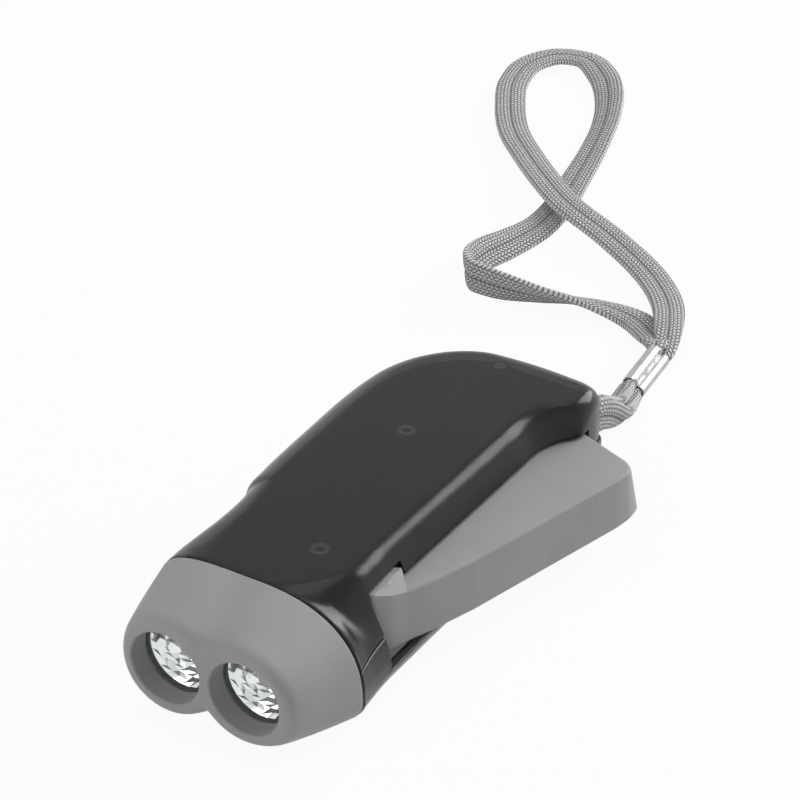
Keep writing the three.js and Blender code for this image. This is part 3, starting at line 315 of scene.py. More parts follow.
strap = {
    "width": 7.5,
    "thick": 1.9,
    "corners": (0.8, 0.62), # powers that square the oval section, across and up
    "groove": (0.34, 0.13), # depth and width of its middle groove, as shares
    "pitch": 1.1,           # length of one braid stitch
    "column": 0.82,         # width of one column of stitches
    "squeeze": (0.28, 1.1), # width and thickness inside the crimp, as shares
    "backRun": 60.0,        # length of the band's second run beside its first
    "colour": shadeOf(240),
    "shadow": shadeOf(92),
    "tailRoute": [
        (15.3, 106.1, 14.1, 90), (15.4, 109, 13.9, 90), (15.2, 113, 12.4, 82), (14.4, 118, 9.6, 66),
        (13.2, 123, 6.6, 50), (11.8, 128, 4.5, 38), (10.4, 133, 3.4, 32), (9.3, 137.8, 3.1, 30)],
    "loopRoute": [
        (8.2, 153.4, 2.7, 0), (6.7, 157.4, 3.5, -8), (4.0, 163.4, 3.9, -10), (-0.2, 171, 3.3, -4),
        (-8.4, 180.2, 2.8, 0), (-24.7, 190.3, 3.8, 0), (-40.2, 197.3, 5, 0), (-50.2, 205.4, 4.6, 0),
        (-60.5, 215.6, 3.2, 0),
        (-70.5, 226, 2.4, 0), (-79, 238.5, 2.2, 0), (-85, 251, 2.2, 0), (-86.2, 260.5, 2.4, 0),
        (-82.4, 267.6, 2.6, 0), (-75.5, 269.5, 2.6, 0), (-67.9, 264.2, 2.6, -10), (-60.6, 254.6, 2.9, -22),
        (-55, 243.2, 2.9, -25), (-50.6, 229.5, 2.5, -20), (-46.8, 213, 1.6, -8), (-44, 199.5, 1.2, 0),
        (-43, 189, 1.6, 10), (-44.2, 178, 2.4, 28), (-45.4, 169, 3.4, 52), (-44.8, 162.3, 4.0, 80),
        (-42.2, 159.2, 4.1, 90), (-38.0, 158.6, 4.1, 88), (-26.5, 160.6, 3.5, 55), (-14, 164.6, 2.4, 18),
        (-4.5, 164.4, 1.7, 0), (1.2, 160.6, 2.2, 0), (4.7, 156.8, 3.2, 0), (6.2, 153.4, 3.9, 0)],
}


def smoothThrough(rows, step):
    # cubic through the rows by their distance along the route, sampled evenly
    rows = np.array(rows, float)
    gaps = np.linalg.norm(np.diff(rows[:, :3], axis=0), axis=1)
    at = np.concatenate([[0], np.cumsum(gaps)])
    fine = splineAt(at, rows, np.linspace(0, at[-1], int(at[-1] / step) * 6))
    steps = np.linalg.norm(np.diff(fine[:, :3], axis=0), axis=1)
    walked = np.concatenate([[0], np.cumsum(steps)])
    even = np.linspace(0, walked[-1], int(walked[-1] / step))
    return even, np.stack([np.interp(even, walked, fine[:, k]) for k in range(fine.shape[1])], -1)


def splineAt(knots, rows, where):
    # each piece is a cubic whose end slopes are those of the parabola through three knots
    width = np.diff(knots)
    rise = np.diff(rows, axis=0) / width[:, None]
    slope = np.empty_like(rows)
    before, after = width[:-1, None], width[1:, None]
    slope[1:-1] = (rise[:-1] * after + rise[1:] * before) / (before + after)
    slope[0], slope[-1] = 1.5 * rise[0] - 0.5 * slope[1], 1.5 * rise[-1] - 0.5 * slope[-2]
    part = np.clip(np.searchsorted(knots, where, side="right") - 1, 0, len(width) - 1)
    h = width[part][:, None]
    s = ((where - knots[part]) / width[part])[:, None]
    return ((2 * s**3 - 3 * s**2 + 1) * rows[part] + (s**3 - 2 * s**2 + s) * h * slope[part]
            + (3 * s**2 - 2 * s**3) * rows[part + 1] + (s**3 - s**2) * h * slope[part + 1])


def braidSection(sides):
    # a flat oval with two ribs: thickness falls to a groove along the middle
    turn, (depth, width) = fullTurn(sides), strap["groove"]
    across, up = [np.sign(part) * np.abs(part) ** power
                  for part, power in zip((np.cos(turn), np.sin(turn)), strap["corners"])]
    groove = 1 - depth * np.exp(-((across / width) ** 2))
    return across * strap["width"] / 2, up * groove * strap["thick"] / 2


crimp = {
    "from": (9.27, 138.1, 3.1),
    "to": (7.6, 152.2, 3.1),
    "sides": 96,
    "stops": (0.12, 0.5, 0.94),  # where the band is held inside, as shares along
    "spread": 1.2,          # lobe centres to the middle
    "lobe": 1.52,
    "hole": 1.2,
    "tilt": 40.0,
    "pinch": 0.34,          # how far the waist is pressed in, and over which share of the turn
    "pinchShare": 0.3,
}


def crimpAxes():
    # along the sleeve, then from its middle to a lobe, then across both
    along = unit(np.subtract(crimp["to"], crimp["from"]))
    beside = unit(np.cross([0.0, 0.0, 1.0], along))
    tilt = math.radians(crimp["tilt"])
    wide = -beside * math.cos(tilt) - np.cross(along, beside) * math.sin(tilt)
    return along, wide, np.cross(along, wide)


def bandRows():
    # the one band: out along the tail, through the crimp, round the loop and back
    def rows(route, lift, wide, thick):
        return [(*row, lift * t, w, t) for row, w, t in zip(route, wide, thick)]

    tail, loop = strap["tailRoute"], strap["loopRoute"]
    half, squeeze = strap["thick"] / 2, strap["squeeze"]
    tailWide = [1.0, 0.97, 0.88, 0.78, 0.7, 0.62, 0.54, 0.42]
    tailThick = [1.0, 1.0, 1.1, 1.22, 1.32, 1.4, 1.42, 1.3]
    loopWide = [0.5, 0.7, 0.86, 0.96] + [1.0] * (len(loop) - 6) + [0.86, 0.5]
    loopThick = [1.2, 1.05] + [1.0] * (len(loop) - 4) + [1.05, 1.2]
    start, end = np.array(crimp["from"]), np.array(crimp["to"])
    through = []
    for side in (1, -1):
        lobe = side * crimp["spread"] * crimpAxes()[1]
        spots = [start + (end - start) * share + lobe for share in crimp["stops"]]
        through.append([(*spot, 0.0, 0.0, *squeeze) for spot in spots])
    out = rows(tail, -half, tailWide, tailThick)
    back = rows(tail, half, tailWide, tailThick)
    return out + through[0] + rows(loop, 0.0, loopWide, loopThick) + through[1][::-1] + back[::-1]


def braidBand(name, step=0.42, sides=44):
    # the braid's section carried along the band, closed at both ends
    walked, route = smoothThrough(bandRows(), step)
    centre, roll, lift = route[:, :3], np.radians(route[:, 3:4]), route[:, 4:5]
    along = unit(np.gradient(centre, axis=0))
    beside = unit(np.cross([0.0, 0.0, 1.0], along))
    above = np.cross(along, beside)
    # past the loop the band runs the other way, so its roll and lift change sign
    back = np.where(walked[:, None] > walked[-1] - strap["backRun"], -1.0, 1.0)
    normal = above * np.cos(roll) + beside * np.sin(roll) * back
    side = np.cross(along, normal)
    across, up = braidSection(sides)
    wide, thick = route[:, 5:6], route[:, 6:7]
    ring = (centre + normal * lift)[:, None] + side[:, None] * (across * wide)[..., None]
    ring = ring + normal[:, None] * (up * thick)[..., None]
    count = len(route)
    piece = newPiece(name, ring, gridFaces(count, sides, aroundColumns=True) + endCaps(count, sides))
    spots = np.stack([np.broadcast_to(walked[:, None], (count, sides)),
                      across * wide], -1).reshape(-1, 2)
    chart = piece.data.uv_layers.new(name="braid")
    loops = np.empty(len(piece.data.loops), int)
    piece.data.loops.foreach_get("vertex_index", loops)
    chart.data.foreach_set("uv", spots[loops].ravel())
    return closeUp(piece, 0)


def braidFinish():
    # UV runs in millimetres: length along the strap, then distance from its middle
    finish = Finish("braid")
    lengthways, sideways, _ = finish.axes(finish.node("TexCoord", out=2))
    wobble = finish.noise(finish.place(), 0.9, 2.0)
    along = lengthways + (wobble - 0.5) * 0.3
    offMiddle = sideways.size()
    across = offMiddle / strap["column"]
    # stitches stand in columns; every second column is half a stitch on and leans the other way
    part = across % 1.0
    odd = across.floor() % 2.0
    lean = (part - 0.5) * (odd * 2.0 - 1.0) * 0.55
    stitch = ((along / strap["pitch"] + odd * 0.5 + lean) * math.pi).wave().size() ** 0.8
    rope = (part * math.pi).wave().size() ** 0.55
    fibre = finish.noise(finish.place(), 6.0, 4.0, 0.7)
    groove = offMiddle.ramp(0.1, 0.6, 0.45, 1.0)
    height = stitch * rope * groove * 0.85 + fibre * 0.2
    stops = [(0.16, strap["shadow"]), (0.82, strap["colour"])]
    shadow = finish.node("ValToRGB", {0: height}, {"stops": stops})
    grime = finish.noise(finish.place(), 0.12, 2.0)
    colour = finish.blend(grime.ramp(0.35, 0.75, 0.0, 0.12), shadow, shadeOf(170, (1, 0.99, 0.97)))
    return finish.surface({
        "Base Color": colour, "Roughness": 0.82 + 0.1 * fibre, "Normal": finish.bump(height, 0.9, 0.0005),
        "Sheen Weight": 0.25, "Sheen Roughness": 0.5})


braid = braidFinish()
wristStrap = shade(braidBand("wristStrap"), braid, 60)


def crimpSleeve():
    # two tubes side by side in one sleeve: a figure of eight carried along, its ends rolled in
    start = np.array(crimp["from"])
    length = np.linalg.norm(np.subtract(crimp["to"], start))
    along, wide, high = crimpAxes()
    turn = fullTurn(crimp["sides"])
    reach = crimp["spread"] * np.abs(np.cos(turn))

    def outline(radius):
        lift = np.sqrt(np.maximum(radius**2 - (crimp["spread"] * np.sin(turn)) ** 2, 0.05))
        far = reach + lift
        pinched = 1 - crimp["pinch"] * np.exp(-((np.cos(turn) / crimp["pinchShare"]) ** 2))
        return far * np.cos(turn), far * np.sin(turn) * pinched

    hole, lobe = crimp["hole"], crimp["lobe"]
    end = [(hole, 0.12), (lobe - 0.14, 0.0), (lobe - 0.02, 0.1), (lobe, 0.3), (lobe, 3.0)]
    stations = end + [(lobe, length / 2)] + [(radius, length - far) for radius, far in end[::-1]]
    stations.append((hole, length / 2))
    rings = []
    for radius, far in stations:
        x, y = outline(radius)
        rings.append(start + along * far + wide * x[:, None] + high * y[:, None])
    faces = gridFaces(len(rings), crimp["sides"], aroundRows=True, aroundColumns=True)
    return solid("strapCrimp", np.array(rings), faces)


def platedFinish():
    finish = Finish("platedSteel")
    spot = finish.place()
    smudge = finish.noise(spot, 0.6, 3.0)
    scratch = finish.noise(finish.place((4.0, 0.35, 4.0)), 2.5, 4.0, 0.7)
    return finish.surface({
        "Base Color": finish.blend(smudge.ramp(0.4, 0.7), shadeOf(190, (1, 0.985, 0.975)), shadeOf(168)),
        "Metallic": 1.0, "Roughness": 0.28 + 0.14 * smudge.ramp(0.3, 0.8),
        "Normal": finish.bump(scratch, 0.05, 0.0001)})


plated = platedFinish()
strapCrimp = shade(crimpSleeve(), plated, 24)


def layCord():
    # the length of one cord's route: the tail, straight on through the crimp, then round the loop
    route = strap["tailRoute"] + [crimp["from"], crimp["to"]] + strap["loopRoute"]
    path = toFrame(smoothThrough([row[:3] for row in route], 2.0)[1])
    length = float(np.linalg.norm(np.diff(path, axis=0), axis=1).sum())
    return length


mount(wristStrap, "body", "braid", "strap_tail", "strap_loop")
mount(strapCrimp, "body", "bright_metal", "strap_ferrule")
print("strap laid,", round(layCord() * 1000), "mm")


studio = {
    "floorCorners": ((-1500, -1440), (1500, 1560)),
    "floorColour": shadeOf(238),
    "floorGlow": 0.94,      # how much of the floor's white the camera sees without light
    "roomLevel": 0.25,      # the world as light on the object
    "openTop": 0.3,         # how much dimmer than white it is overhead, and between which slants
    "topFrom": (0.25, 0.6),
    "lamps": [
        # name, power, size, place, target
        ("backLamp", 8.0, 0.7, (0.34, 0.88, 0.46), (0.0, 0.01, 0.01)),
        ("topLamp", 1.6, 0.7, (-0.1, 0.1, 0.9), (0.0, 0.02, 0.01)),
        ("frontFill", 1.5, 0.5, (-0.3, -0.75, 0.35), (0.0, -0.03, 0.01)),
    ],
}


def seenDirectly(finish):
    # the camera's rays, and those of shiny and clear surfaces
    camera, shiny, clear = [finish.node("LightPath", out="Is " + kind + " Ray")
                            for kind in ("Camera", "Glossy", "Transmission")]
    return camera.most(shiny).most(clear)


def addStudio():
    (x0, y0), (x1, y1) = studio["floorCorners"]
    plane = newPiece("floor", [(x0, y0, 0), (x1, y0, 0), (x1, y1, 0), (x0, y1, 0)], [[0, 1, 2, 3]])
    finish = Finish("floorPaper")
    grain = finish.noise(finish.place(), 0.4, 3.0)
    paper = finish.node("BsdfPrincipled", {
        "Base Color": finish.blend(grain, studio["floorColour"], shadeOf(241)), "Roughness": 0.9})
    glow = finish.node("Emission", {"Color": (1, 1, 1, 1), "Strength": 1.0})
    share = seenDirectly(finish) * studio["floorGlow"]
    plane.data.materials.append(finish.mix(share, paper, glow))

    world = bpy.data.worlds.new("room")
    bpy.context.scene.world = world
    room = Finish(world, "World")
    white = seenDirectly(room)
    soft = room.node("Background", {"Color": (1, 1, 1, 1), "Strength": studio["roomLevel"]})
    # overhead the white room falls off for shiny surfaces, as a tent's open top does
    seen = room.node("LightPath", out="Is Camera Ray")
    up = room.axes(room.node("TexCoord", out=0))[2]
    white = white * (1.0 - (1.0 - seen) * up.ramp(*studio["topFrom"], 0.0, studio["openTop"]))
    bright = room.node("Background", {"Color": (1, 1, 1, 1), "Strength": 1.0})
    room.mix(white, soft, bright)

    for name, power, size, place, target in studio["lamps"]:
        light = bpy.data.lights.new(name, "AREA")
        light.energy, light.size, light.shape = power, size, "SQUARE"
        lamp = addObject(name, light)
        lamp.location = place
        lamp.rotation_euler = (Vector(target) - Vector(place)).to_track_quat("-Z", "Y").to_euler()


addStudio()
bpy.context.scene.view_settings.view_transform = "Standard"
print("floor and lamps set")


plastics = {
    "smoke": shadeOf(17, (1.0, 1.0, 1.02)),
    "smokeSeen": 0.86,      # how much of the light the smoky plastic stops
    # sink marks, dented in and painted lighter as a painted glint: x, back, radius, and the level above which
    # they show
    "sinks": [(-1.1, 101.4, 0.7), (-4.0, 72.0, 1.3), (3.9, 30.7, 1.3)], "sinksAbove": 22.0,
    "trim": shadeOf(166),
    "trimWorn": shadeOf(173),
}


def sinkRingsAndGlint(finish, spot):
    # shallow rings where posts meet the roof from inside: high at the radius, falling off both ways. They
    # dent the surface and are painted lighter, a painted glint
    x, y, z = finish.axes(spot)
    y = y + noseToOrigin
    rings = []
    for acrossAt, backAt, radius in plastics["sinks"]:
        away = ((x - acrossAt) ** 2.0 + (y - backAt) ** 2.0) ** 0.5
        rings.append(1.0 - (away - radius).size().ramp(0.1, 0.75))
    return sum(rings[1:], rings[0]) * z.above(plastics["sinksAbove"])


def smokyFinish():
    # polished smoky plastic: almost black, a little see-through, with handling marks
    finish = Finish("smokyPlastic")
    spot = finish.place()
    cloud = finish.noise(spot, 0.06, 3.0)
    smudge = finish.noise(spot, 0.35, 5.0, 0.62)
    hair = finish.noise(finish.place((0.25, 2.2, 1.0)), 1.6, 3.0, 0.7)
    ripple = finish.noise(spot, 0.09, 2.0)
    marks = sinkRingsAndGlint(finish, spot)
    cloudy = finish.blend(cloud.ramp(0.3, 0.7), plastics["smoke"], shadeOf(22, (1, 1, 1.02)))
    # painted glint: the sink rings are painted lighter, towards a mid grey
    colour = finish.blend(marks * 0.5, cloudy, shadeOf(84))
    rough = 0.2 + 0.06 * smudge.ramp(0.45, 0.75) + 0.03 * hair.ramp(0.55, 0.75)
    return finish.surface({
        "Base Color": colour, "Roughness": rough, "Alpha": plastics["smokeSeen"],
        "Specular IOR Level": 0.38, "Normal": finish.bump(ripple * 0.5 - marks * 0.5, 0.3, 0.0003)})


def trimFinish():
    # satin grey plastic from an eroded mould: fine grain, faint cloudiness
    finish = Finish("satinTrim")
    spot = finish.place()
    grain = finish.noise(spot, 3.2, 3.0, 0.6)
    cloud = finish.noise(spot, 0.07, 3.0)
    speck = finish.noise(spot, 0.55, 2.0).ramp(0.76, 0.8)
    base = finish.blend(cloud.ramp(0.3, 0.75), plastics["trim"], plastics["trimWorn"])
    colour = finish.blend(speck * 0.35, base, shadeOf(120))
    return finish.surface({
        "Base Color": colour, "Roughness": 0.5 + 0.1 * grain, "Specular IOR Level": 0.3,
        "Normal": finish.bump(grain, 0.16, 0.00012)})


# tone, grit and smear are noises: scale, detail, roughness and stretch. tones are the two colours that
# tone mixes, rough is a base and what smear adds, lift is the strength and height of the bumps by grit
plainRows = {
    "mirror_cup": ("mirrorCup", {
        "tone": (0.8, 3.0), "tones": (shadeOf(250), shadeOf(242)), "rough": (0.06, 0.08),
        "Metallic": 1.0}),
    "lamp": ("castLamp", {
        "tone": (0.9, 2.0), "tones": (shadeOf(240), shadeOf(228, (1, 1, 0.94))), "rough": (0.12, 0.1),
        "Transmission Weight": 0.3, "IOR": 1.5}),
    "dark_plastic": ("darkPlastic", {
        "tone": (0.2, 3.0), "tones": (shadeOf(44), shadeOf(56)), "grit": (2.2, 3.0, 0.6),
        "rough": (0.42, 0.16), "lift": (0.12, 0.0001)}),
    "white_nylon": ("whiteNylon", {
        "tone": (0.15, 3.0), "tones": (shadeOf(232, (1, 0.98, 0.93)), shadeOf(218, (1, 0.97, 0.9))),
        "grit": (2.0, 3.0), "rough": (0.42, 0.12), "lift": (0.08, 0.0001),
        "Subsurface Weight": 0.1, "Subsurface Scale": 0.002}),
    "steel": ("drawnSteel", {
        "tone": (1.6, 4.0, 0.7, (3.0, 3.0, 0.25)), "tones": (shadeOf(178), shadeOf(206)),
        "rough": (0.22, 0.18), "lift": (0.06, 0.0001), "Metallic": 1.0}),
    "iron": ("sinteredIron", {
        "tone": (0.2, 3.0), "tones": (shadeOf(84), shadeOf(108, (1, 0.98, 0.95))),
        "grit": (1.8, 4.0, 0.65), "rough": (0.4, 0.25), "lift": (0.2, 0.0002), "Metallic": 0.85}),
    "cell": ("platedCells", {
        "tone": (1.5, 4.0, 0.7, (0.4, 0.4, 4.0)), "tones": (shadeOf(206), shadeOf(224)),
        "smear": (0.5, 3.0), "rough": (0.18, 0.12), "lift": (0.05, 0.0001), "Metallic": 1.0}),
    "wire_cover": ("wireCover", {
        "tone": (0.3, 3.0), "tones": (shadeOf(150, (1, 0.24, 0.2)), shadeOf(168, (1, 0.28, 0.24))),
        "grit": (1.4, 3.0), "rough": (0.45, 0.12), "lift": (0.1, 0.0001)}),
}


def plainFinish(name, row):
    # where a row has no grit, the tone's noise is used, and where it has no smear, the grit's
    finish = Finish(name)

    def noise(scale, detail, rough=0.5, stretch=(1, 1, 1)):
        return finish.noise(finish.place(stretch), scale, detail, rough)

    tone = noise(*row["tone"])
    grit = noise(*row["grit"]) if "grit" in row else tone
    smear = noise(*row["smear"]) if "smear" in row else grit
    base, more = row["rough"]
    values = {"Base Color": finish.blend(tone, *row["tones"]), "Roughness": base + more * smear}
    if "lift" in row:
        values["Normal"] = finish.bump(grit, *row["lift"])
    return finish.surface({**values, **{key: value for key, value in row.items() if key[0].isupper()}})


smoky, trim = smokyFinish(), trimFinish()
plain = {slot: plainFinish(*row) for slot, row in plainRows.items()}


body = {
    "seam": 17.1, "length": 91.6, "height": 24.0, "palm": 23.6, "lever": 21.9,
    "wall": 1.8, "rim": 0.3, "halfGap": 0.15, "proud": 0.55, "proudRows": (15.5, 20.0),
    "proudFade": (1.5, 0.8),
    "tailMiddle": 0.16, "tailRows": 7,
    "seamPalmPower": 4.0, "seamLeverPower": 2.4, "chamferPower": 1.2, "roundPower": 2.0,
    # a slope's share of its corner, how long its bends are, at most what share of it, and where they end
    "slopeShare": 0.9, "slopeEnds": (5.0, 2.3), "bendLimit": 0.4, "bendParts": (0.35, 0.55),
    "settled": 0.28, "lowCorner": 0.24, "lowWide": 0.4,
    # palm edge back and out, lever edge back and out, then how wide and deep each top corner is
    "rows": np.array([
        [0, 0.89, 0, 1, 1, 0.48, 1, 0.74],
        [0.043, 0.894, 0.04, 0.978, 0.7, 0.42, 0.8, 0.73],
        [0.097, 0.869, 0.08, 0.959, 0.48, 0.34, 0.55, 0.72],
        [0.152, 0.839, 0.12, 0.941, 0.34, 0.28, 0.4, 0.72],
        [0.202, 0.831, 0.16, 0.932, 0.3, 0.25, 0.38, 0.74],
        [0.25, 0.847, 0.215, 0.927, 0.28, 0.25, 0.39, 0.75],
        [0.275, 0.864, 0.27, 0.923, 0.28, 0.25, 0.39, 0.75],
        [0.293, 0.907, 0.33, 0.922, 0.28, 0.25, 0.39, 0.75],
        [0.337, 0.932, 0.4, 0.922, 0.28, 0.25, 0.39, 0.75],
        [0.436, 0.962, 0.48, 0.922, 0.28, 0.25, 0.39, 0.75],
        [0.545, 0.983, 0.58, 0.922, 0.28, 0.25, 0.39, 0.75],
        [0.654, 1, 0.69, 0.922, 0.28, 0.25, 0.39, 0.75],
        [0.741, 0.987, 0.785, 0.922, 0.27, 0.25, 0.37, 0.72],
        [0.807, 0.945, 0.83, 0.922, 0.26, 0.25, 0.28, 0.54],
        [0.861, 0.856, 0.87, 0.922, 0.26, 0.24, 0.15, 0.28],
        [0.91, 0.72, 0.905, 0.92, 0.28, 0.23, 0.125, 0.16],
        [0.949, 0.559, 0.938, 0.903, 0.34, 0.23, 0.15, 0.16],
        [0.972, 0.42, 0.966, 0.865, 0.45, 0.24, 0.21, 0.2],
        [0.986, 0.27, 0.985, 0.76, 0.68, 0.24, 0.28, 0.23],
        [0.995, 0.09, 0.995, 0.56, 1.3, 0.24, 0.42, 0.24],
        [1, -0.148, 1, 0.16, 1.5, 0.24, 1.5, 0.24]]),
    # the lever's slot along the flank: front, hub's end and arc's end, then its levels
    "slotFront": 28.3, "slotHub": 39.9, "slotEnd": 99.05,
    "slotBottom": 5.5, "slotTop": 17.5, "hubTop": 19.8,
}


# points round the rim, from the rim to the flat, across the flat, over a whole corner, and the
# distance between stations
shellCounts = {"rim": 5, "run": 52, "flat": 14, "profile": 90, "step": 1.1}


def sideTable(side):
    # edge points of one side, its inward directions, and the knots they are interpolated by
    reach = body["palm"] if side < 0 else body["lever"]
    column = 0 if side < 0 else 2
    rows = body["rows"]
    x = side * rows[:, column + 1] * reach
    x[-1] = body["tailMiddle"] * body["lever"]
    y = body["seam"] + rows[:, column] * body["length"]
    edge = np.stack([x, y], -1)
    along = unit(np.gradient(edge, axis=0))
    inward = np.stack([-side * along[:, 1], side * along[:, 0]], -1)
    inward[0], inward[-1] = (-side, 0.0), (0.0, -1.0)
    atTail = np.arange(len(rows)) >= len(rows) - body["tailRows"]
    away = body["roundPower"] if side < 0 else body["chamferPower"]
    atSeam = body["seamPalmPower"] if side < 0 else body["seamLeverPower"]
    settled = np.where(atTail, body["roundPower"], away)
    pull = np.where(atTail, 0, np.maximum((rows[:, 4] - body["settled"]) / (1 - body["settled"]), 0))
    power = settled + (atSeam - settled) * pull
    halfWidth = np.maximum(np.abs(x), reach * body["tailMiddle"])
    halfWidth[-1] = body["tailMiddle"] * body["lever"]
    corner = 4 if side < 0 else 6
    wide = halfWidth * rows[:, corner]
    deep = body["height"] * rows[:, corner + 1]
    low = halfWidth * np.minimum(rows[:, 4], body["lowWide"])
    knots = np.concatenate([[0], np.cumsum(np.hypot(np.diff(x), np.diff(y)))])
    return knots, np.concatenate([edge, inward, np.stack([power, wide, deep, low], -1)], 1)


def sideAt(side, share):
    # the side's edge, inward direction and corner sizes at shares of the row numbers
    knots, table = sideTable(side)
    found = splineAt(knots, table, np.interp(share, np.arange(len(knots)), knots))
    sizes = {name: found[:, 4 + k][:, None] for k, name in enumerate(("power", "wide", "deep", "low"))}
    return {"edge": found[:, :2], "inward": unit(found[:, 2:4]), **sizes}


def topCorner(at, inset, share):
    # from the upright side (0) to the flat top (1): a rounded corner, or a slope with
    # softened ends where the corner's power is under two
    floor = body["wall"] / 2
    deep, wide = np.maximum(at["deep"] - inset, floor), np.maximum(at["wide"] - inset, floor)
    angle = share * math.pi / 2
    power = np.maximum(at["power"], 2)
    rounded = (wide * (1 - np.cos(angle) ** (2 / power)), deep * (np.sin(angle) ** (2 / power) - 1))
    run, rise = wide * body["slopeShare"], deep * body["slopeShare"]
    slant = np.hypot(run, rise)
    lowEnd, highEnd = [np.minimum(bend, body["bendLimit"] * slant) for bend in body["slopeEnds"]]
    low, high = body["bendParts"]
    first, last = held(share / low), held((share - high) / (1 - high))
    middle = held((share - low) / (high - low))
    # three parts in turn: a bend off the side, the straight slope, a bend onto the top
    u, w = run / slant, rise / slant
    across = first**2 * lowEnd * u
    height = -rise - (1 - first) ** 2 * lowEnd + first**2 * lowEnd * w
    straight = slant - lowEnd - highEnd
    across, height = across + middle * straight * u, height + middle * straight * w
    across = across + highEnd * u * (1 - (1 - last) ** 2) + last**2 * highEnd
    height = height + highEnd * w * (1 - (1 - last) ** 2)
    slope = held((2 - at["power"]) / (2 - body["chamferPower"]))
    top = body["height"] - inset
    return (rounded[0] * (1 - slope) + across * slope, top + rounded[1] * (1 - slope) + height * slope)


def sideProfile(at, inset):
    # distance in and height all the way up one side, from the flat bottom to the flat top
    floor = body["wall"] / 2
    share = np.linspace(0, 1, shellCounts["profile"])[None]
    upIn, upZ = topCorner(at, inset, share)
    low = np.maximum(at["low"] - inset, floor)
    lowDeep = body["height"] * body["lowCorner"] - inset
    turn = share[:, ::-1] * math.pi / 2
    downIn = low * (1 - np.cos(turn))
    downZ = np.broadcast_to(inset + lowDeep * (1 - np.sin(turn)), upIn.shape)
    return np.concatenate([downIn, upIn], 1), np.concatenate([downZ, upZ], 1)


def inAtHeight(profile, levels):
    # the distance in at each height, station by station
    inwards, z = profile
    order = np.maximum.accumulate(z, 1)
    return np.stack([np.interp(row, order[i], inwards[i]) for i, row in enumerate(levels)])


def runFrom(profile, startZ, upper, count):
    # evenly spaced points from a height to the flat, for the upper or the lower shell
    inwards, z = profile
    order = np.maximum.accumulate(z, 1)
    foundIn, foundZ = [], []
    for i, start in enumerate(startZ):
        first = np.interp(start, order[i], inwards[i])
        keep = order[i] > start + 1e-6 if upper else order[i] < start - 1e-6
        chain = np.stack([inwards[i][keep], order[i][keep]], -1)
        if not upper:
            chain = chain[::-1]
        chain = np.concatenate([[(first, start)], chain])
        walked = np.concatenate([[0], np.cumsum(np.hypot(*np.diff(chain, axis=0).T))])
        even = np.linspace(0, walked[-1], count)
        foundIn.append(np.interp(even, walked, chain[:, 0]))
        foundZ.append(np.interp(even, walked, chain[:, 1]))
    return np.array(foundIn), np.array(foundZ)


def placeOn(at, inset, inwards, z):
    # points at a distance inwards from the edge and at a height
    reach = (inset + inwards)[..., None]
    spot = at["edge"][:, None] + at["inward"][:, None] * reach
    return np.concatenate([spot, np.broadcast_to(z, inwards.shape)[..., None]], -1)


def sideColumns(at, endZ, inset, upper, rimmed):
    # one side's points, from its rim at endZ, drawn in by a quarter round, to where the flat begins
    away = 1 if upper else -1
    profile = sideProfile(at, inset)
    rimIn, rimUp = quarterRound(body["rim"], shellCounts["rim"])
    rimZ = endZ[:, None] + away * rimUp
    past = inset + np.broadcast_to(rimIn if rimmed else 0.0, rimZ.shape)
    columns = [placeOn(at, past, inAtHeight(profile, rimZ), rimZ)]
    inwards, z = runFrom(profile, endZ + away * body["rim"], upper, shellCounts["run"])
    columns.append(placeOn(at, np.full(z[:, 1:].shape, float(inset)), inwards[:, 1:], z[:, 1:]))
    return np.concatenate(columns, 1)


def shellSection(share, leverEnd, palmEnd, inset, upper, rimmed, bulge=0.0):
    # one layer of a shell, station by station: up the palm side, across the flat, down the lever side
    palm, lever = sideAt(-1, share), sideAt(1, share)
    if bulge:
        # the lower shell stands a little proud around the tail's lever corner
        (first, last), (fadeIn, fadeOut) = body["proudRows"], body["proudFade"]
        proud = bulge * held((share - first) / fadeIn) * held((last - share) / fadeOut)
        lever["edge"] = lever["edge"] - lever["inward"] * proud[:, None]
    fromPalm = sideColumns(palm, palmEnd, inset, upper, rimmed)
    fromLever = sideColumns(lever, leverEnd, inset, upper, rimmed)[:, ::-1]
    mix = np.linspace(0, 1, shellCounts["flat"] + 2)[1:-1][None, :, None]
    flat = fromPalm[:, -1:] * (1 - mix) + fromLever[:, :1] * mix
    return np.concatenate([fromPalm, flat, fromLever], 1)


def shellStations():
    # row shares about a millimetre apart, closer at the tail, with doubles where the slot steps
    knots, palmKnots = [sideTable(side)[0] for side in (1, -1)]
    longest = np.maximum(np.diff(knots), np.diff(palmKnots))
    parts = np.ceil(longest / shellCounts["step"]).astype(int) + 1
    share = np.concatenate([i + np.arange(n) / n for i, n in enumerate(parts)] + [[len(knots) - 1.0]])
    # the slot's ends, found on the stretch where the edge runs only backwards
    fine = np.linspace(0, len(knots) - 1.0, 20001)[:19000]
    fineY = sideAt(1, fine)["edge"][:, 1]
    steps = [float(np.interp(body[end], fineY, fine)) for end in ("slotFront", "slotHub", "slotEnd")]
    share = share[np.min(np.abs(share[:, None] - np.array(steps)), 1) > 0.02]
    doubled = [s + off for s in steps for off in (-1e-5, 1e-5)]
    return np.sort(np.concatenate([share, doubled])), steps


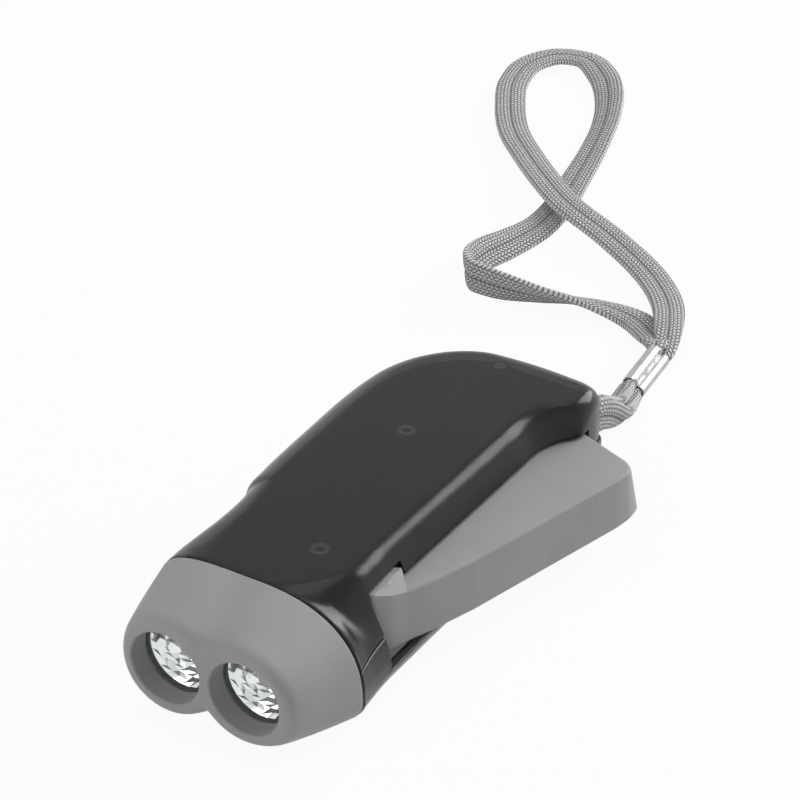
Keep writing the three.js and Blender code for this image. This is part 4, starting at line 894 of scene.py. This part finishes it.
def bodyShell(name, upper):
    # the outer layer and, a wall's thickness inside it, the inner one, as one loop at each station
    share, (front, hub, end) = shellStations()
    share = share[share > 0.06]     # the front rim's rings take the first place
    part = body["height"] / 2 + (body["halfGap"] if upper else -body["halfGap"])
    if upper:
        leverEnd = np.where((share > front) & (share < hub), body["hubTop"],
                            np.where((share > hub) & (share < end), body["slotTop"], part))
    else:
        leverEnd = np.where((share > front) & (share < end), body["slotBottom"], part)
    palmEnd = np.full(share.shape, part)
    outer = shellSection(share, leverEnd, palmEnd, 0.0, upper, True, 0.0 if upper else body["proud"])
    inner = shellSection(share, leverEnd, palmEnd, body["wall"], upper, False)
    # the front rim: the seam's section drawn in by a quarter round
    zero, ends = np.zeros(1), np.full(1, part)
    rimRings, lips = [], []
    for drawnIn, back in zip(*quarterRound(body["rim"], shellCounts["rim"])):
        ring = shellSection(zero, ends, ends, drawnIn, upper, True)[0]
        ring[:, 1] = body["seam"] + back
        lip = shellSection(zero, ends, ends, body["wall"], upper, False)[0]
        lip[:, 1] = body["seam"]
        rimRings.append(ring)
        lips.append(lip)
    outer, inner = np.concatenate([rimRings, outer]), np.concatenate([lips, inner])
    loop = np.concatenate([outer, inner[:, ::-1]], 1)
    rows, columns = loop.shape[:2]
    faces = gridFaces(rows, columns, aroundColumns=True)
    # at the tail both sides end in one line, so only the front needs an end face
    j = np.arange(columns // 2 - 1)
    faces += np.stack([j, j + 1, columns - 2 - j, columns - 1 - j], -1).tolist()
    return solid(name, loop, faces, 6e-6)


insides = {
    # hollow posts: name, x, back, radius, hole, bottom, top; the upper ones end in the roof
    "lower": [
        ("pivotBoss", 12.2, 33.0, 2.2, 1.3, 0.9, 5.5), ("gearOneBoss", -1.15, 70.71, 2.5, 1.3, 0.9, 8.7),
        ("gearTwoBoss", -5.63, 57.02, 2.5, 1.3, 0.9, 8.7), ("rotorBoss", -5.13, 44.23, 2.5, 1.3, 0.9, 4.1),
        ("barBoss", 15.3, 104.6, 2.2, 1.5, 3.9, 9.3), ("cellCradle", -10.62, 87.63, 8.95, 8.05, 0.9, 4.0, 64),
        ("platePost", -15.55, 72.51, 1.9, 1.1, 0.9, 19.6), ("platePost", 7.0, 40.4, 1.9, 1.1, 0.9, 19.6)],
    "upper": [("pinBossTop", 12.2, 33.0, 2.2, 1.3, 19.8), ("barBossTop", 15.3, 104.6, 2.2, 1.5, 18.9)],
    "screws": [(-15.58, 21.4), (15.33, 21.4), (-1.65, 101.9)], "screwBoss": (2.5, 1.4),
    # how far under the roof's middle surface a post ends, and in how many directions and how near
    # to its edge the roof is looked up
    "underRoof": 0.4, "sectors": 8, "nearEdge": 0.5,
    # solid ones: the peg and its tip, as x, back, radius, bottom, top, and ribs by their corners
    "pegs": [(-17.53, 46.33, 1.9, 0.9, 19.6), (-17.53, 46.33, 0.9, 19.5, 20.8)],
    "ribs": [((-14.43, 27.03, 0.9), (-10.83, 30.33, 4.9)), ((0.57, 27.03, 0.9), (4.17, 30.33, 4.9)),
             ((-18.2, 28.0, 0.9), (-16.3, 32.0, 8.9))],
    "strapSlot": ((12.5, 105.8, 9.6), (18.1, 112.0, 18.6)),
    "knobSlot": ((-27.0, 27.45, 10.7), (-17.05, 32.55, 13.3)),
    "screwSink": (2.4, -2.0, 2.0),
}


def lowerPosts():
    parts = [tube(*row) for row in insides["lower"]] + [rod("peg", *row) for row in insides["pegs"]]
    parts += [tube("screwBoss", *place, *insides["screwBoss"], 2.0, 11.85) for place in insides["screws"]]
    return parts + [brick("rib", *corners) for corners in insides["ribs"]]


def roofOver(x, y, radius):
    # the upper wall's middle surface around a round post's edge: its height in each direction,
    # and a little under the lowest of those
    share = np.linspace(0.1, 19.9, 400)
    ends = np.full(share.shape, body["height"] / 2 + body["halfGap"])
    points = shellSection(share, ends, ends, body["wall"] / 2, True, False).reshape(-1, 3)
    away = points[:, :2] - (x, y)
    near = np.abs(np.hypot(*away.T) - radius) < insides["nearEdge"]
    sector = np.floor(np.arctan2(*away[near].T) / math.tau * insides["sectors"])
    heights = points[near, 2]
    return float(min(heights[sector == k].max() for k in np.unique(sector))) - insides["underRoof"]


def upperPosts():
    rows = insides["upper"] + [("screwBossTop", *place, *insides["screwBoss"], 12.15)
                               for place in insides["screws"]]
    return [tube(*row, roofOver(*row[1:4])) for row in rows]


def slotCuts():
    return [brick(name + "Cut", *insides[name]) for name in ("strapSlot", "knobSlot")]


topShell = join([combine(bodyShell("topShell", True), slotCuts())] + upperPosts())
sinks = [rod("screwSink", *place, *insides["screwSink"]) for place in insides["screws"]]
lowerShell = join([combine(bodyShell("lowerShell", False), slotCuts() + sinks)] + lowerPosts())
for piece, node in ((topShell, "top_shell"), (lowerShell, "bottom_shell")):
    mount(shade(piece, smoky), "body", "smoky_shell", node)
print("body shells made", len(topShell.data.polygons), len(lowerShell.data.polygons))


nose = {
    "length": 16.8, "barrel": 9.5, "spread": 8.3, "bore": 7.2, "flare": 0.45, "boreDepth": 4.2,
    "cell": 8.1, "waistAbove": 8.0, "waistBelow": 6.0, "rimDepth": 2.4, "rimPull": 1.5, "swell": 0.8,
    "around": 240, "rings": (12, 40, 5),    # around it, then in the front round, between and in the rear one
}


def figureEight(angle):
    # distance from the middle to the outline of two barrels with a filled waist
    across, up = np.cos(angle), np.sin(angle)
    bare = math.sqrt(nose["barrel"] ** 2 - nose["spread"] ** 2)
    lift = np.where(up > 0, nose["waistAbove"], nose["waistBelow"]) - bare
    barrel = np.sqrt(nose["barrel"] ** 2 - (nose["spread"] * up) ** 2)
    return np.hypot(nose["spread"] * across, lift * up * up) + barrel


def seamOutline(angle):
    # the body's section at the seam as a distance from the middle
    loops = []
    for side in (1, -1):
        at = sideAt(side, np.zeros(1))
        inwards, z = sideProfile(at, 0.0)
        loops.append(placeOn(at, np.zeros(z.shape), inwards, z)[0][:, [0, 2]])
    outline = np.concatenate([loops[0], loops[1][::-1]]) - [0.0, body["height"] / 2]
    fine = np.linspace(0, 1, 24)[:, None]
    dense = np.concatenate([a + (b - a) * fine for a, b in zip(outline, np.roll(outline, -1, 0))])
    turned = np.arctan2(dense[:, 1], dense[:, 0])
    far = np.hypot(dense[:, 0], dense[:, 1])
    order = np.argsort(turned)
    return np.interp(angle, turned[order], far[order], period=math.tau)


def noseShell():
    # distance from the middle: the barrels' outline at the front turns into the body's at the back,
    # less a quarter round at both ends
    angle = fullTurn(nose["around"])
    front, seam = figureEight(angle), seamOutline(np.mod(angle + math.pi, math.tau) - math.pi)
    backRim = nose["length"] - body["rim"]
    frontRings, rings, backRings = nose["rings"]
    early = quarterRound(nose["rimDepth"], frontRings)[1]
    late = backRim + body["rim"] * np.sin(np.linspace(0, math.pi / 2, backRings))
    depth = np.concatenate([early, np.linspace(nose["rimDepth"], backRim, rings)[1:-1], late])
    share = depth / nose["length"]
    blend = share[:, None] ** nose["swell"]
    rounding = np.maximum(1 - depth / nose["rimDepth"], 0)
    pulled = nose["rimPull"] * (1 - np.sqrt(1 - rounding**2))
    behind = np.maximum(depth - backRim, 0)
    pulled = pulled + body["rim"] - np.sqrt(np.maximum(body["rim"] ** 2 - behind**2, 0))
    radius = front[None] * (1 - blend) + seam[None] * blend - pulled[:, None]
    points = np.stack([radius * np.cos(angle), np.broadcast_to(depth[:, None], radius.shape),
                       body["height"] / 2 + radius * np.sin(angle)], -1)
    faces = gridFaces(*radius.shape, aroundColumns=True) + endCaps(*radius.shape)
    return solid("noseShell", points, faces)


def noseTools():
    # what is cut out: two bores with a flared lip, and a wider cell behind each
    flare, bore, cell, middle = nose["flare"], nose["bore"], nose["cell"], body["height"] / 2
    past = nose["length"] + 2
    lip = [(bore + out, back) for out, back in zip(*quarterRound(flare, 6))]
    profile = [(0, -2), (bore + flare, -2), *lip, (bore, nose["boreDepth"]), (cell, nose["boreDepth"]),
               (cell, past), (0, past)]
    return [lathe("bore", profile, (side * nose["spread"], 0, middle), 96, axis="y") for side in (-1, 1)]


noseTrim = shade(combine(noseShell(), noseTools()), trim, weighted=True)
mount(noseTrim, "body", "grey_trim", "nose_bezel")
print("nose made", len(noseTrim.data.polygons))


lever = {
    "pivot": (12.2, 33.0), "length": 66.0, "out": 21.4, "bottom": 6.0, "top": 17.0, "hubTop": 19.5,
    "hubRadius": 4.4, "edge": 0.55, "hubEdge": 0.3, "plate": 1.5, "pinHole": 1.3,
    "stopTab": (0.8, 56.76, 59.76, 19.0),  # width, the two ends' distances from the pivot, top
    # how far the outer rear corner's foot stands beyond its head, where that starts and over how much
    # it grows, as shares out and along
    "lean": np.array([0.5, 3.0]), "leanFrom": (0.45, 0.84), "leanOver": (0.35, 0.08),
    # outline as shares along and out from the pivot, then the fillet at that corner
    "outline": [
        (-0.0667, 0, 0.3), (-0.0667, 0.19, 1.8), (-0.01, 0.268, 7.0), (0.045, 0.312, 7.0), (0.13, 0.41, 9.0),
        (0.268, 0.548, 8.0), (0.826, 0.981, 8.0), (0.871, 1, 3.2), (0.905, 0.97, 3.2), (0.927, 0.88, 3.0),
        (0.9985, 0.29, 1.2), (1, 0, 0.5)],
    "pocket": [
        (0.16, -0.2, 0.3), (0.16, 0.385, 0.5), (0.268, 0.472, 2.0), (0.826, 0.892, 2.5),
        (0.868, 0.908, 1.2), (0.892, 0.85, 1.2), (0.966, 0.28, 0.6), (0.97, -0.2, 0.3)],
    "hub": [
        (-0.0667, 0, 0.2), (-0.0667, 0.19, 1.2), (-0.01, 0.268, 5.0), (0.045, 0.312, 0.2),
        (0.0908, 0.164, 0.5), (0.06, 0, 0.2)],
    # the block's top falls from the line between its front and rear corners to the outer one
    "fold": ((-0.0667, 0.19), (0.0908, 0.164), (0.045, 0.312)),
    "foldRuns": (-8.0, 16.0), "foldTop": 25.0,
    # the hub starts above the lever's bottom, the block below its top; the block ends below the hub's
    # top, stands in from the outline and has its own edge, as has the pocket
    "hubFrom": 0.7, "blockFrom": 1.2, "blockUnder": 0.02, "blockIn": 0.05, "blockEdge": 0.35,
    "pocketEdge": 0.3,
}


def leverSpots(shares):
    # shares along and out from the pivot as places
    shares = np.array(shares, float)
    return lever["pivot"] + shares[:, 1::-1] * (lever["out"], lever["length"])


def filletLoop(corners, steps=6):
    # each corner becomes a curve whose control point is the corner itself
    spots, radius = leverSpots(corners), np.array(corners, float)[:, 2:3]
    before, after = np.roll(spots, 1, 0) - spots, np.roll(spots, -1, 0) - spots
    back, ahead = [np.linalg.norm(side, axis=1, keepdims=True) for side in (before, after)]
    cosine = np.clip((before * after).sum(1, keepdims=True) / (back * ahead), -0.9999, 0.9999)
    reach = np.minimum(radius / np.tan(np.arccos(cosine) / 2), 0.45 * np.minimum(back, ahead))
    start, end = spots + before / back * reach, spots + after / ahead * reach
    s = np.linspace(0, 1, steps)[None, :, None]
    curve = (1 - s) ** 2 * start[:, None] + 2 * s * (1 - s) * spots[:, None] + s**2 * end[:, None]
    return curve.reshape(-1, 2)


def slab(name, corners, bottom, top, edge, shrink=0.0):
    # an outline raised between two levels, its edges drawn in by a quarter round
    loop = filletLoop(corners)
    steps = (np.roll(loop, -1, 0) - loop, loop - np.roll(loop, 1, 0))
    lengths = [np.maximum(np.linalg.norm(step, axis=1, keepdims=True), 1e-9) for step in steps]
    along = unit(steps[0] / lengths[0] + steps[1] / lengths[1])
    area = 0.5 * (loop[:, 0] * np.roll(loop[:, 1], -1) - np.roll(loop[:, 0], -1) * loop[:, 1]).sum()
    inward = np.stack([-along[:, 1], along[:, 0]], -1) * (1 if area > 0 else -1)
    loop = loop + inward * shrink
    half = [(edge + 0.2, 0.0), *zip(*quarterRound(edge, 5))]
    stack = [(inset, bottom + up) for inset, up in half] + [(inset, top - up) for inset, up in half[::-1]]
    rings = np.array([np.concatenate([loop + inward * inset, np.full((len(loop), 1), z)], 1)
                      for inset, z in stack])
    faces = gridFaces(*rings.shape[:2], aroundColumns=True) + endCaps(*rings.shape[:2])
    return solid(name, rings, faces)


def foldCutter():
    # the wedge above a plane that falls from the fold's line through its outer corner
    front, rear, outer = leverSpots(lever["fold"])
    along = unit(rear - front)
    away = np.array([along[1], -along[0]])
    away = away * np.sign((outer - front) @ away)
    far = (outer - front) @ away
    drop = lever["hubTop"] - lever["top"]
    corners = []
    for off, low in ((0.0, lever["hubTop"]), (2 * far, lever["hubTop"] - 2 * drop)):
        for run in lever["foldRuns"]:
            spot = front + along * run + away * off
            corners += [(*spot, low), (*spot, lever["foldTop"])]
    return solid("foldCutter", np.array(corners), boxFaces)


def leanTip(piece):
    # points past a share of the length and of the width move out by their depth below the top
    spots = np.empty(len(piece.data.vertices) * 3)
    piece.data.vertices.foreach_get("co", spots)
    spots = spots.reshape(-1, 3)
    x, y = lever["pivot"]
    shares = (spots[:, :2] * 1000 - (x, y - noseToOrigin)) / (lever["out"], lever["length"])
    out, along = held((shares - lever["leanFrom"]) / lever["leanOver"]).T
    low = held((lever["top"] - spots[:, 2] * 1000) / (lever["top"] - lever["bottom"]))
    push = along**2 * (3 - 2 * along) * out**2 * (3 - 2 * out) * low
    spots[:, :2] += push[:, None] * lever["lean"] / 1000
    piece.data.vertices.foreach_set("co", spots.ravel())
    piece.data.update()
    return piece


def pressLever():
    # the outline with a pocket, the folded block and the round hub on it, a stop tab and the pin's hole
    x, y = lever["pivot"]
    plate, bottom, top, edge = lever["plate"], lever["bottom"], lever["top"], lever["hubEdge"]
    hubRadius, hubTop = lever["hubRadius"], lever["hubTop"]
    tabWide, tabFrom, tabTo, tabTop = lever["stopTab"]
    piece = leanTip(slab("pressLever", lever["outline"], bottom, top, lever["edge"]))
    foot = bottom + lever["hubFrom"]
    hubProfile = [(0, foot), (hubRadius, foot), (hubRadius, hubTop - edge), (hubRadius - edge, hubTop),
                  (0, hubTop)]
    block = slab("hubBlock", lever["hub"], top - lever["blockFrom"], hubTop - lever["blockUnder"],
                 lever["blockEdge"], lever["blockIn"])
    combine(block, [foldCutter()])
    tab = brick("stopTab", (x, y + tabFrom, top - plate), (x + tabWide, y + tabTo, tabTop))
    combine(piece, [slab("pocket", lever["pocket"], bottom + plate, top - plate, lever["pocketEdge"])])
    combine(piece, [block, lathe("hub", hubProfile, (x, y, 0)), tab], "UNION")
    return combine(piece, [rod("pinHole", x, y, lever["pinHole"], 0.0, body["height"])])


leverPiece = shade(pressLever(), trim, weighted=True)
mount(leverPiece, "lever", "grey_trim", "lever")
print("lever made", len(leverPiece.data.polygons))


lamps = {
    "places": {"left": -8.3, "right": 8.3},
    "mouth": 7.15, "neck": 2.8, "front": 5.72, "flange": 7.75, "flangeThick": 0.33, "bowl": 10.2,
    "back": 13.3, "petals": 26, "rows": 7, "wall": (0.5, 0.35),
    # how deep the facets' corners are drawn in by a wave, its steps by facet and by row, and the bowl's power
    "ripple": 0.12, "rippleSteps": (2.4, 1.7), "bowlPower": 0.9,
}


def mirrorCup(name, x):
    # a bowl in rows of flat facets, each row turned by half a facet from the last
    rows, petals, neck = lamps["rows"] + 1, lamps["petals"], lamps["neck"]
    share, row, petal = np.linspace(0, 1, rows)[:, None], np.arange(rows)[:, None], np.arange(petals)[None]

    def ringsAt(radius, depth, angle):
        level = np.broadcast_to(depth, angle.shape)
        return np.stack([radius * np.cos(angle), level, radius * np.sin(angle)], -1)

    depth = lamps["front"] + (lamps["bowl"] - lamps["front"]) * share
    byPetal, byRow = lamps["rippleSteps"]
    ripple = lamps["ripple"] * (1 + np.cos(petal * byPetal + row * byRow)) * ((share > 0) & (share < 1))
    radius = neck + (lamps["mouth"] - neck) * (1 - share) ** lamps["bowlPower"] - ripple
    angle = (petal + 0.5 * (row % 2)) * math.tau / petals
    inside = np.concatenate([ringsAt(radius, depth, angle), ringsAt(neck, lamps["back"], angle[-1:])])
    outer, (thick, behind) = inside[::-1], lamps["wall"]
    scale = 1 + thick / np.maximum(np.linalg.norm(outer[..., [0, 2]], axis=-1, keepdims=True), 0.1)
    outer = np.concatenate([outer[..., :1] * scale, outer[..., 1:2] + behind, outer[..., 2:] * scale], -1)
    brim = ringsAt(lamps["flange"], lamps["front"], angle[:1])
    rings = np.concatenate([inside, outer, brim + [0.0, lamps["flangeThick"], 0.0], brim])
    points = rings + [x, 0.0, body["height"] / 2]
    count = len(rings)
    quads = np.array(gridFaces(count, petals, aroundRows=True, aroundColumns=True))
    faces = quads[:, [0, 1, 2]].tolist() + quads[:, [0, 2, 3]].tolist()
    return solid(name, points, faces)


def windowFinish():
    # a thin clear pane: light passes, its outer faces reflect by their slant, its inner ones not at all
    finish = Finish("clearWindow")
    dust = finish.noise(finish.place(), 1.1, 3.0).ramp(0.6, 0.9)
    pane = finish.node("BsdfTransparent", {0: (0.97, 0.98, 0.98, 1)})
    gloss = finish.node("BsdfPrincipled", {
        "Base Color": shadeOf(245), "Metallic": 1.0, "Roughness": 0.03})
    front = 1.0 - finish.node("NewGeometry", out="Backfacing")
    share = (finish.node("Fresnel", {0: 1.45}) * 0.9 + dust * 0.03) * front
    return finish.mix(share, pane, gloss)


for side, x in lamps["places"].items():
    cup = mirrorCup("mirrorCup_" + side, x)
    cup.data.materials.append(plain["mirror_cup"])
    mount(cup, "body", "mirror_cup", "reflector_" + side)
print("lamps made")


knob = {
    "x": (-22.6, -21.1), "y": (25.55, 31.95), "z": (9.7, 14.3), "ribs": 6, "ribDepth": 0.4, "edge": 0.5,
    "ribFrom": 0.12, "ribSpan": 0.76, "edgeDrop": 0.45, "points": (97, 25),
    "stem": ((-21.2, 27.75, 11.0), (-17.65, 29.75, 13.0)),
}


def slideKnob():
    # a pad whose outer face rises and falls in ribs across its length, with rounded edges
    (x0, x1), (y0, y1), (z0, z1) = knob["x"], knob["y"], knob["z"]

    def rise(share, length):
        near = np.minimum(np.minimum(share, 1 - share) * length, knob["edge"]) / knob["edge"]
        return np.sqrt(held(1 - (1 - near) ** 2))

    along, up = [np.linspace(0, 1, count) for count in knob["points"]]
    rounded = rise(along, y1 - y0)[:, None] * rise(up, z1 - z0)[None]
    ribShare = held((along - knob["ribFrom"]) / knob["ribSpan"])[:, None]
    ribs = 0.5 + 0.5 * np.cos(ribShare * math.tau * knob["ribs"])
    out = x0 + knob["edgeDrop"] * (1 - rounded) + knob["ribDepth"] * (1 - ribs) * rounded
    y = np.broadcast_to((y0 + (y1 - y0) * along)[:, None], out.shape)
    z = np.broadcast_to((z0 + (z1 - z0) * up)[None], out.shape)
    points = np.stack([np.stack([x, y, z], -1) for x in (out, np.full(out.shape, x1))])
    rows, columns = out.shape
    count = rows * columns
    faces = gridFaces(rows, columns) + gridFaces(rows, columns, start=count)
    # the walls around, between the front grid's edges and the flat back's
    i, j = np.arange(rows - 1) * columns, np.arange(columns - 1)
    for first, step in ((i, columns), (i + columns - 1, columns), (j, 1), (i[-1] + columns + j, 1)):
        faces += np.stack([first, first + step, first + step + count, first + count], -1).tolist()
    return join([solid("slideKnob", points, faces), brick("knobStem", *knob["stem"])])


knobPiece = shade(slideKnob(), plain["dark_plastic"])
mount(knobPiece, "switch_knob", "dark_plastic", "switch_knob")
print("slide button made")


def copperFinish():
    # enamelled wire lies side by side along the winding: bumped in ridges, and painted darker in the gaps
    # between wires, a painted shade
    finish = Finish("copperWinding")
    spot = finish.place()
    wireRidgesAndShade = ((finish.axes(spot)[0] / 0.28) * math.pi).wave().size() ** 0.6
    stain = finish.noise(spot, 0.5, 3.0)
    tones = shadeOf(110, (1, 0.6, 0.4)), shadeOf(214, (1, 0.66, 0.42))
    # painted shade: the copper is darker where the wires meet
    return finish.surface({
        "Base Color": finish.blend(wireRidgesAndShade * 0.8 + stain * 0.2, *tones), "Metallic": 0.9,
        "Roughness": 0.28 + 0.1 * stain, "Normal": finish.bump(wireRidgesAndShade, 0.7, 0.0003)})


def boardFinish():
    # woven glass board under green lacquer
    finish = Finish("lampBoard")
    spot = finish.place()
    x, _, z = finish.axes(spot)
    weave = (x * 4.0).wave().size() * (z * 4.0).wave().size()
    cloud = finish.noise(spot, 0.3, 3.0)
    tones = shadeOf(70, (0.5, 1.3, 0.75)), shadeOf(88, (0.5, 1.35, 0.8))
    return finish.surface({
        "Base Color": finish.blend(cloud * 0.7 + weave * 0.3, *tones), "Roughness": 0.3 + 0.1 * cloud,
        "Normal": finish.bump(weave, 0.15, 0.0001)})


finishOfSlot = {
    "smoky_shell": smoky, "grey_trim": trim, "window": windowFinish(), "board": boardFinish(),
    "copper_wire": copperFinish(), "braid": braid, "bright_metal": plated, **plain,
}


def dressNodes():
    slots = {part["node"]: part["material_slot"] for part in frame["record"]["subparts"]}
    for name, piece in frame["nodes"].items():
        finish = finishOfSlot[slots[name]]
        if not piece.material_slots:
            piece.data.materials.append(finish)
        for holder in piece.material_slots:
            holder.material = finish


dressNodes()
print("carried-over pieces dressed")
